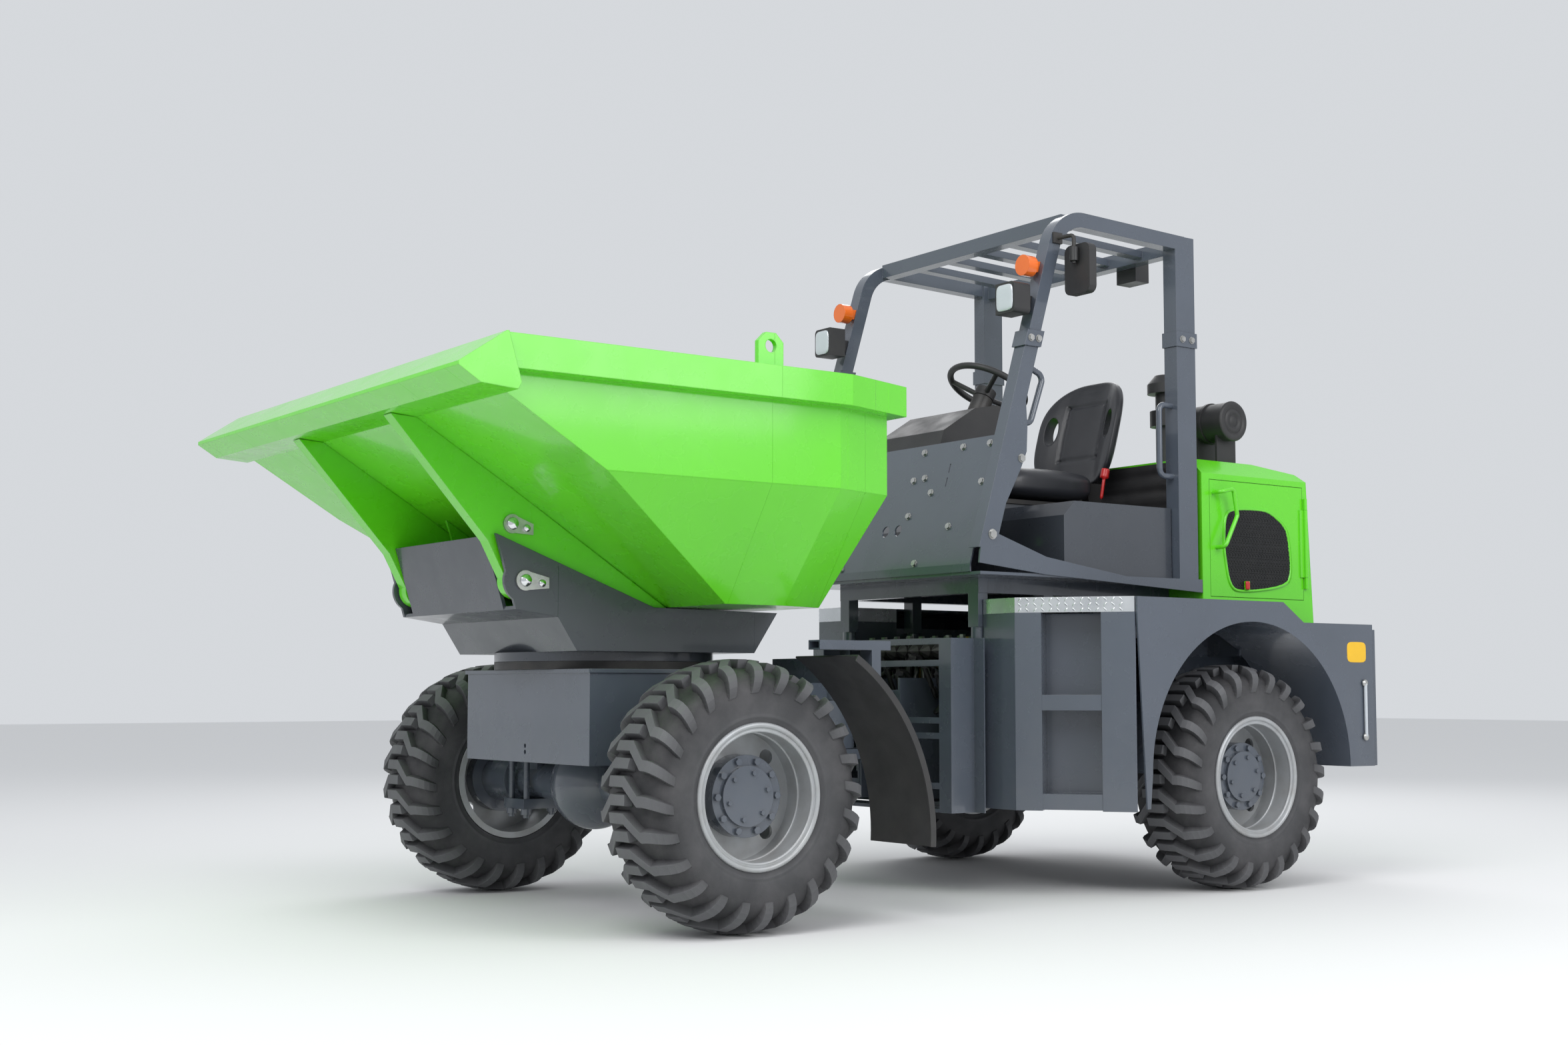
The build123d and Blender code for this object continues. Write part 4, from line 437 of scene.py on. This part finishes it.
def cushion_form(low, high):
    """A crowned pad with a hollow to sit in, a nose that falls away, bolsters and sewn channels."""
    middle, half = (low + high) / 2, (high - low) / 2 - 0.001
    turn, tilt = turn_and_tilt(160, 61)
    x = power(np.cos(tilt), 0.42) * power(np.cos(turn), 0.34)
    y = power(np.cos(tilt), 0.42) * power(np.sin(turn), 0.34)
    z = power(np.sin(tilt), 0.55)
    crown = 1 - 0.12 * x ** 2 - 0.10 * y ** 2
    hollow = 0.026 * np.exp(-(x / 0.55) ** 4) * np.exp(-((y - 0.1) / 0.8) ** 4)
    nose = np.where(y < -0.55, 0.035 * ((-y - 0.55) / 0.45) ** 2, 0)
    bolsters = 0.010 * np.exp(-((np.abs(x) - 0.78) / 0.16) ** 2)
    across = sum(channel((y - at) * half[1], 0.007, 0.006) for at in (-0.45, -0.15, 0.15, 0.45, 0.72))
    along = channel((np.abs(x) - 0.58) * half[0], 0.008, 0.006)
    seams = across * (np.abs(x) < 0.56) + along * (np.abs(y) < 0.86)
    rise = half[2] * z * crown + np.where(z > 0, bolsters - hollow - nose - seams, 0)
    rise = np.clip(rise, -half[2], half[2])
    return np.stack([middle[0] + half[0] * x, middle[1] + half[1] * y, middle[2] + rise], -1)


def back_form(foot, middle_z, half_z):
    """A leaning pad that narrows at its top and wraps forward at its sides, with a framed panel sewn in."""
    turn, tilt = turn_and_tilt(200, 81)
    x = back_half_width * power(np.cos(tilt), 0.5) * power(np.cos(turn), 0.55)
    z = middle_z + half_z * power(np.cos(tilt), 0.5) * power(np.sin(turn), 0.62)
    x = x * (1 - 0.20 * np.clip((z - middle_z) / half_z, 0, 1) ** 3)
    depth = 0.036 * power(np.sin(tilt), 0.6)
    hollow = 0.020 * np.exp(-(x / 0.15) ** 6)
    seam_x, seam_z = np.abs(x) - 0.118, np.abs(z - middle_z - 0.01) - 0.125
    seams = channel(seam_x, 0.009, 0.006) * (seam_z < 0.004) + channel(seam_z, 0.009, 0.006) * (seam_x < 0.004)
    depth = depth + np.where(depth < 0, (hollow + seams) * np.clip(-depth / 0.03, 0, 1), 0)
    wrap = 0.055 * (np.abs(x) / back_half_width) ** 3
    centre_y = foot[1] + 0.060 + back_lean * (z - foot[2]) - wrap
    return np.stack([x, centre_y + depth, z], -1)


def cut_slot(piece, x, z):
    """Cuts an upright oval slot through a piece, from front to back, centred on x and z."""
    angles = around(slot_sides)
    points = [(x + slot_half_width * np.cos(a), y, z + slot_half_height * np.sin(a))
              for y in slot_reach for a in angles]
    walls = [(a, (a + 1) % slot_sides, (a + 1) % slot_sides + slot_sides, a + slot_sides)
             for a in range(slot_sides)]
    ends = [tuple(range(slot_sides - 1, -1, -1)), tuple(range(slot_sides, 2 * slot_sides))]
    slot_mesh = bpy.data.meshes.new("slot_cutter")
    slot_mesh.from_pydata(points, [], walls + ends)
    cutter = bpy.data.objects.new("slot_cutter", slot_mesh)
    merge_poles(cutter)
    bpy.context.scene.collection.objects.link(cutter)
    cut = piece.modifiers.new("slot", "BOOLEAN")
    cut.operation, cut.object, cut.solver = "DIFFERENCE", cutter, "EXACT"
    bpy.context.view_layer.update()
    finished = bpy.data.meshes.new_from_object(piece.evaluated_get(bpy.context.evaluated_depsgraph_get()))
    piece.modifiers.clear()
    piece.data = finished
    bpy.data.objects.remove(cutter)


low, high = (np.array(end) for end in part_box("seat_cushion"))
cushion_piece = sheet_mesh("seat_cushion_pad", cushion_form(low, high), seat_vinyl, "seat",
                           loop_u=True)
merge_poles(cushion_piece)
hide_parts("seat_cushion")

low, high = (np.array(end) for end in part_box("seat_back"))
back_low, back_high = low[2] + 0.002, high[2] - 0.002
back_middle, back_half = (back_low + back_high) / 2, (back_high - back_low) / 2
back_half_width = 0.246
back_lean = 0.2833
slot_sides = 40
slot_x, slot_above_middle = 0.178, 0.03
slot_half_width, slot_half_height = 0.031, 0.065
slot_reach = (0.9, 1.7)
back_piece = sheet_mesh("seat_back_pad", back_form(low, back_middle, back_half), seat_vinyl, "seat",
                        loop_u=True)
merge_poles(back_piece)
for side in (1, -1):
    cut_slot(back_piece, side * slot_x, back_middle + slot_above_middle)
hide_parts("seat_back")

# ---------------------------------------------------------------- rear panel of the driver's station
# A black pressed sheet closes the hood off behind the seat. It narrows near its top, and three
# shallow ribs are pressed across it to stiffen it.
hood_low, hood_high = (np.array(end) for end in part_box("hood"))
floor_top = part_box("platform")[1][2]
panel_half = 0.55
panel_top = hood_high[2] - 0.01
taper_height, taper = 0.10, 0.10
xx, zz = np.meshgrid(np.linspace(-panel_half, panel_half, 56), np.linspace(floor_top + 0.002, panel_top, 60),
                     indexing="ij")
xx = xx * (1 - taper * np.clip((zz - (panel_top - taper_height)) / taper_height, 0, 1))
ribs = sum(0.006 * np.exp(-((zz - at) / 0.022) ** 4) for at in (1.62, 1.69, 1.76))
ribs = ribs * (np.abs(xx) < 0.46)
face = np.stack([xx, hood_low[1] - 0.010 - ribs, zz], -1)
rear_face = np.stack([xx, np.full_like(xx, hood_low[1] - 0.002), zz], -1)
sheet_mesh("rear_panel", [face[:, ::-1], rear_face], black_plastic, "rear_chassis")

# ---------------------------------------------------------------- hood grilles
# Each service door has a steel screen, painted black, behind a pressed rim. The screen is a
# lattice of thin bars in three directions over a near-black sheet of painted shade, cut to the rim's
# outline, which stands for the shaded inside of the hood.
screen_finish = finish("black_screen_steel", (0.035, 0.036, 0.038), (0.05, 0.05, 0.05), 0.5, 20.0, (0.35, 0.5),
                       metal=0.4)
# A near-black colour: painted shade of the hood's inside, seen through the bars.
shade_behind_bars = finish("painted_shade_behind_screen", (0.006, 0.006, 0.006), (0.012, 0.012, 0.012), 0.5, 20.0, (0.6, 0.8))
door_face = 0.640
bar_pitch, bar_half, bar_spread, bar_shortest = 0.013, 0.0019, 0.30, 0.01
bar_low, bar_high = 0.0009, 0.0028

# The opening's six corners, behind the front axle and above the ground. Each is cut off, then
# rounded by cutting corners twice more.
outline = np.array([(2.673, 1.566), (2.939, 1.576), (3.071, 1.501), (3.096, 1.253), (2.700, 1.209),
                    (2.659, 1.398)])
outline[:, 0] += front_axle_y
outline = np.stack([outline + (np.roll(outline, way, 0) - outline) * 0.16 for way in (1, -1)], 1).reshape(-1, 2)
for _ in range(2):
    ahead = np.roll(outline, -1, 0)
    outline = np.stack([outline * 0.75 + ahead * 0.25, outline * 0.25 + ahead * 0.75], 1).reshape(-1, 2)
outline_middle = outline.mean(0)


def outline_sized(share):
    """The opening's outline, made larger or smaller about its middle."""
    return outline_middle + (outline - outline_middle) * share


def door_rings(side, profile):
    """Outlines at heights above a door's face, as one grid."""
    return np.stack([np.column_stack([np.full(len(ring), side * door_face + side * height), ring])
                     for ring, height in profile])


def lattice_bars(side, slope):
    """Bars along one slope, each cut where it meets the outline, with a roof-shaped section."""
    way = np.array([np.cos(slope), np.sin(slope)])
    off = np.array([-way[1], way[0]])
    start = outline_middle + np.arange(-bar_spread, bar_spread, bar_pitch)[:, None] * off
    edge = np.roll(outline, -1, 0) - outline
    outward = np.stack([edge[:, 1], -edge[:, 0]], -1)
    outward *= np.sign(((outline - outline_middle) * outward).sum(1))[:, None]
    room = ((outline[None] - start[:, None]) * outward[None]).sum(-1)
    speed = (outward @ way)[None]
    limit = room / np.where(np.abs(speed) < 1e-9, 1e-9, speed)
    far = np.where(speed > 0, limit, 9).min(1)
    near = np.where(speed < 0, limit, -9).max(1)
    inside = far - near > bar_shortest
    near, far, start = near[inside], far[inside], start[inside]
    ends = np.stack([start + near[:, None] * way, start + far[:, None] * way], 1)
    section = np.array([(-bar_half, bar_low), (-bar_half * 0.6, bar_high), (bar_half * 0.6, bar_high),
                        (bar_half, bar_low)])
    bar = ends[:, :, None, :] + section[None, None, :, 0, None] * off
    height = np.broadcast_to(side * door_face + side * section[:, 1], bar.shape[:3])
    return np.concatenate([height[..., None], bar], -1)


for side, body in ((1, "door_left"), (-1, "door_right")):
    # A near-black sheet fills the opening just under the bars as painted shade.
    shade_sheet = door_rings(side, [(outline, 0.0002), (outline, 0.0008), (outline_sized(0.0), 0.0008)])
    merge_poles(sheet_mesh("grille_painted_shade_" + body, shade_sheet, shade_behind_bars, body, smooth=False,
                           loop_v=True))
    rim = door_rings(side, [(outline_sized(1.045), 0.0002), (outline_sized(1.045), 0.004), (outline, 0.0055),
                            (outline_sized(0.985), 0.0012)])
    merge_poles(sheet_mesh("grille_rim_" + body, rim, green_paint, body, loop_v=True))
    bars = np.concatenate([lattice_bars(side, slope) for slope in (np.pi / 4, -np.pi / 4, 0.0)])
    sheet_mesh("grille_screen_" + body, bars if side > 0 else bars[:, :, ::-1], screen_finish, body,
               smooth=False)

# ---------------------------------------------------------------- tread plate
# The step box covers are bright rolled plate with raised lozenges in alternating directions,
# on the flat top and on the folded front edge.
cover_low, cover_high = (np.array(end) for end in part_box("step_covers"))
nose = np.array([0.634, cover_low[1]])
heel = np.array([0.995, cover_high[1] - 0.008])
along = (heel - nose) / np.linalg.norm(heel - nose)
facing = np.array([along[1], -along[0]])
lozenge_long, lozenge_wide, lozenge_tall = 0.0125, 0.0042, 0.0016
step = 0.030
edge_share = 0.8
angle, share = np.meshgrid(around(8), np.array([1.0, 0.55, 0.0]), indexing="ij")
long_way, wide_way = lozenge_long * share * np.cos(angle), lozenge_wide * share * np.sin(angle)
lozenge_rise = lozenge_tall * (1 - share ** 2)


def lozenges_turned(first, second):
    """Lozenges turned one way and the other like a chessboard's squares, for two running counts."""
    spin = np.where((np.round(first) + np.round(second)) % 2 == 0, 1, -1) * np.pi / 4
    cosine, sine = np.cos(spin)[:, None, None], np.sin(spin)[:, None, None]
    return cosine * long_way - sine * wide_way, sine * long_way + cosine * wide_way


for side in (1, -1):
    x, y = np.meshgrid(np.arange(0.47, 1.0, step), np.arange(cover_low[1] + 0.012, cover_high[1] - 0.01, step),
                       indexing="ij")
    x, y = x.ravel(), y.ravel()
    keep = ((np.stack([x, y], -1) - nose) @ facing) < -0.014
    x, y = x[keep], y[keep]
    over_x, over_y = lozenges_turned(x / step, y / step)
    flat = np.stack([side * (x[:, None, None] + over_x), y[:, None, None] + over_y,
                     np.broadcast_to(cover_high[2] + lozenge_rise, (len(x),) + lozenge_rise.shape)], -1)
    run, height = np.meshgrid(np.arange(0.02, 0.44, step), np.array([0.16, 0.5, 0.84]), indexing="ij")
    run, height = run.ravel(), cover_low[2] + height.ravel() * (cover_high[2] - cover_low[2])
    over_run, over_height = lozenges_turned(run / step, height / 0.02)
    run = run[:, None, None] + over_run * edge_share
    plan = nose + run[..., None] * along + lozenge_rise[None, ..., None] * facing
    edge = np.stack([side * plan[..., 0], plan[..., 1], height[:, None, None] + over_height * edge_share], -1)
    merge_poles(sheet_mesh("tread_lozenges_" + side_name(side), np.concatenate([flat, edge]), bright_plate,
                           "rear_chassis", loop_u=True))

# ---------------------------------------------------------------- hydraulic hoses
# Black rubber hoses with crimped steel ends: nine run from the bulkhead to the gearbox, and the
# rest hang from the valve bank under the platform. Both ends of each are held, so none moves.
hose_rubber = finish("hose_rubber", (0.014, 0.014, 0.015), (0.03, 0.028, 0.026), 0.6, 30.0, (0.35, 0.5),
                     grain=0.3, grain_scale=400)
hose_radius, ferrule_radius = 0.0105, 0.0135
bulkhead_hoses, platform_hoses = 9, 22


def smooth_path(points, steps):
    """Points along a Catmull-Rom curve through the given ones."""
    points = np.array(points, float)
    padded = np.concatenate([2 * points[:1] - points[1:2], points, 2 * points[-1:] - points[-2:-1]])
    t = np.linspace(0, len(points) - 1, steps)
    k = np.clip(t.astype(int), 0, len(points) - 2)
    f = (t - k)[:, None]
    a, b, c, d = (padded[k + n] for n in range(4))
    return 0.5 * (2 * b + (c - a) * f + (2 * a - 5 * b + 4 * c - d) * f ** 2 + (3 * b - a - 3 * c + d) * f ** 3)


def tube(points, radius, steps=48, sides=14):
    """Circles of a radius, which may change along the way, set square to a smooth path."""
    path = smooth_path(points, steps)
    way = np.gradient(path, axis=0)
    way /= np.linalg.norm(way, axis=1, keepdims=True)
    guide = np.where(np.abs(way[:, 2:3]) > 0.9, [[1.0, 0, 0]], [[0, 0, 1.0]])
    first = np.cross(way, guide)
    first /= np.linalg.norm(first, axis=1, keepdims=True)
    second = np.cross(way, first)
    angle = around(sides)[None, :, None]
    size = np.broadcast_to(np.asarray(radius, float), (steps,))[:, None, None]
    return path[:, None] + size * (np.cos(angle) * first[:, None] + np.sin(angle) * second[:, None])


cage_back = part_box("bulkhead_cage")[1][1]
box_low, box_high = (np.array(end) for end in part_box("gearbox"))
deck_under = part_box("platform")[0][2]


def bulkhead_hose(index):
    """A run from the bulkhead, sagging once, over to a fitting on the gearbox."""
    x_from = -0.33 + index * 0.082
    x_to = -0.12 + (index * 37 % 9) * 0.024
    z_from = 0.93 - 0.03 * (index % 3)
    return [(x_from, cage_back - 0.13, z_from),
            (x_from, cage_back - 0.06, z_from - 0.01),
            (x_from * 0.9 + 0.02, cage_back + 0.02, z_from - 0.10 - 0.03 * (index % 4)),
            (x_to, cage_back + 0.09, box_high[2] - 0.08 + 0.02 * (index % 2)),
            (x_to, cage_back + 0.17, box_high[2] - 0.03),
            (x_to, cage_back + 0.23, box_high[2] - 0.075)]


def platform_hose(index):
    """A run from under the platform down to the gearbox, drawn in towards the middle on its way."""
    x_top = -0.42 + index * 0.038
    y_top = cage_back + 0.02 + (index * 29 % 11) * 0.024
    x_foot = x_top * 0.55 + 0.03 * np.sin(index * 2.4)
    return [(x_top, y_top, deck_under + 0.02),
            (x_top, y_top + 0.004, deck_under - 0.05),
            (x_top * 0.9 + 0.02 * np.sin(index * 1.7), y_top + 0.03 * np.cos(index * 1.3), deck_under - 0.16),
            (x_foot, y_top + 0.05 * np.sin(index * 0.9), deck_under - 0.29),
            (x_foot, cage_back + 0.15 + 0.008 * index, box_high[2] - 0.04)]


hose_runs = [bulkhead_hose(index) for index in range(bulkhead_hoses)]
hose_runs += [platform_hose(index) for index in range(platform_hoses)]
valve_z = deck_under - 0.045
valve_radii = np.array([0.001, 0.030, 0.034, 0.034, 0.034, 0.034, 0.030, 0.001])
valves = [tube([(x, cage_back - 0.02, valve_z), (x, cage_back + 0.21, valve_z)], valve_radii, 8, 8)
          for x in np.arange(-0.26, 0.30, 0.074)]
sheet_mesh("valve_bank", valves, black_casting, "rear_chassis", smooth=False, loop_v=True)
sheet_mesh("hydraulic_hoses", [tube(run, hose_radius) for run in hose_runs], hose_rubber, "rear_chassis",
           loop_v=True)
ferrules = [tube([run[0], tuple(np.array(run[0]) * 0.45 + np.array(run[1]) * 0.55)], ferrule_radius, 6, 6)
            for run in hose_runs]
sheet_mesh("hose_ends", ferrules, zinc, "rear_chassis", smooth=False, loop_v=True)

# ---------------------------------------------------------------- lamps, mirror glass and small fittings
# Clear moulded lens plates on the two work lamps and the rear lamp, silvered glass in the mirror,
# the red seat belt buckle and hood latches, a plain yellow label and the oil level glass.
clear_lens = finish("clear_lens", (0.62, 0.66, 0.70), (0.55, 0.58, 0.62), 0.4, 20.0, (0.05, 0.12), metal=0.3,
                    coat=0.8)
mirror_glass = finish("silvered_glass", (0.75, 0.77, 0.80), (0.7, 0.72, 0.75), 0.3, 5.0, (0.02, 0.05), metal=1.0)
red_plastic = finish("red_moulding", (0.55, 0.012, 0.012), (0.42, 0.01, 0.01), 0.5, 20.0, (0.25, 0.4), coat=0.3)
yellow_label = finish("yellow_label", (0.85, 0.50, 0.02), (0.75, 0.44, 0.02), 0.4, 20.0, (0.3, 0.45))


def cushion_plate(middle, half_a, half_b, thick, plane):
    """A plate with rounded corners and a domed face, square to plane (0 X, 1 Y), facing the sign of thick."""
    turn, reach = np.meshgrid(around(48), np.array([1.0, 1.0, 0.94, 0.6, 0.0]), indexing="ij")
    a = half_a * reach * power(np.cos(turn), 0.4)
    b = half_b * reach * power(np.sin(turn), 0.4)
    rise = thick * np.array([0.0, 0.6, 0.9, 1.0, 1.0])[None] + 0 * turn
    parts = [rise, a, b] if plane == 0 else [a, rise, b]
    return np.stack([parts[0] + middle[0], parts[1] + middle[1], parts[2] + middle[2]], -1)


# Name, middle, half sizes, thickness, plane, finish, body and slot of each plate.
lamp_low, lamp_high = (np.array(end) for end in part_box("work_lamps"))
mirror_low, mirror_high = (np.array(end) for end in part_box("mirror_left"))
plates = []
for side in (1, -1):
    plates.append(("work_lens_" + side_name(side), (side * 0.6, lamp_low[1], 2.3365), 0.046, 0.052, -0.006, 1,
                   clear_lens, "rear_chassis", "chequer_plate"))
plates.append(("mirror_face", (0.722, mirror_high[1], (mirror_low[2] + mirror_high[2]) / 2), 0.062, 0.092, 0.0025,
               1, mirror_glass, "mirror", "chequer_plate"))
plates.append(("rear_lens", (0.2625, lamp_high[1], 2.639), 0.048, 0.044, 0.005, 1, clear_lens, "rear_chassis",
               "chequer_plate"))
plates.append(("side_label", (1.003, 2.004, 0.955), 0.062, 0.043, 0.0012, 0, yellow_label, "rear_chassis",
               "yellow_paint"))
for side in (1, -1):
    plates.append(("hood_latch_" + side_name(side), (side * 0.652, 1.7325, 1.2435), 0.012, 0.018, side * 0.006, 0,
                   red_plastic, "door_" + side_name(side), "orange_lens"))
for name, middle, half_a, half_b, thick, plane, material, body, slot in plates:
    merge_poles(sheet_mesh(name, cushion_plate(middle, half_a, half_b, thick, plane), material, body,
                           loop_u=True))

buckle_radii = np.interp(np.arange(24), [0, 1, 13, 14, 22, 23], [0.001, 0.007, 0.007, 0.019, 0.019, 0.001])
buckle = tube([(0.252, 1.262, 1.62), (0.256, 1.275, 1.70), (0.254, 1.29, 1.755)], buckle_radii, 24, 8)
sheet_mesh("belt_buckle", buckle, red_plastic, "seat", loop_v=True)

gauge_x, gauge_y = 1.012, 2.0475
gauge_low, gauge_high = 0.60, 0.825
glass = tube([(gauge_x, gauge_y, gauge_low), (gauge_x, gauge_y, gauge_high)], 0.007, 6, 12)
sheet_mesh("level_gauge", [glass], clear_lens, "rear_chassis", loop_v=True)
boss_radii = np.array([0.001, 0.016, 0.016, 0.016, 0.012, 0.001])
bosses = [tube([(1.0035, gauge_y, z), (1.019, gauge_y, z)], boss_radii, 6, 16) for z in (gauge_low, gauge_high)]
sheet_mesh("level_gauge_ends", bosses, zinc, "rear_chassis", loop_v=True)

# ---------------------------------------------------------------- air cleaner
# The canister is moulded in black, with a stepped, ribbed cap on its outer end.
can_low, can_high = (np.array(end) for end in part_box("air_cleaner"))
can_y, can_z = (can_low[1] + can_high[1]) / 2, 1.964
cap_profile = np.array([(0.000, 0.087), (0.004, 0.088), (0.010, 0.084), (0.012, 0.078), (0.012, 0.060),
                        (0.008, 0.057), (0.008, 0.052), (0.012, 0.049), (0.012, 0.034), (0.008, 0.031),
                        (0.008, 0.022), (0.011, 0.019), (0.011, 0.0)])
out, radius = cap_profile[:, :1], cap_profile[:, 1:]
cap_turn = around(72)
cap = np.stack([can_high[0] + out + 0 * cap_turn, can_y + radius * np.cos(cap_turn),
                can_z + radius * np.sin(cap_turn)], -1)
merge_poles(sheet_mesh("canister_cap", cap, black_plastic, "rear_chassis", loop_v=True))

# ---------------------------------------------------------------- pin retainers
# Each zinc-plated keeper has a turned pin end standing through it and one round bolt head, which
# holds it to the rib or to the cradle. Places are behind the front axle and above the ground.
stud_profile = np.array([1.0, 1.0, 1.0, 0.94, 0.80, 0.01])
keepers = (("rib", "skip", 0.428, (-0.604, 1.349), (-0.552, 1.336)),
           ("cradle", "cradle", 0.453, (-0.566, 1.160), (-0.505, 1.152)))
for side in (1, -1):
    for keeper, body, face_x, pin_yz, bolt_yz in keepers:
        studs = [tube([(side * face_x, front_axle_y + y, z), (side * (face_x + deep), front_axle_y + y, z)],
                      radius * stud_profile, 6, 24)
                 for (y, z), radius, deep in ((pin_yz, 0.021, 0.012), (bolt_yz, 0.013, 0.011))]
        sheet_mesh(f"{keeper}_pin_end_" + side_name(side), studs, polished_rod, body, loop_v=True)
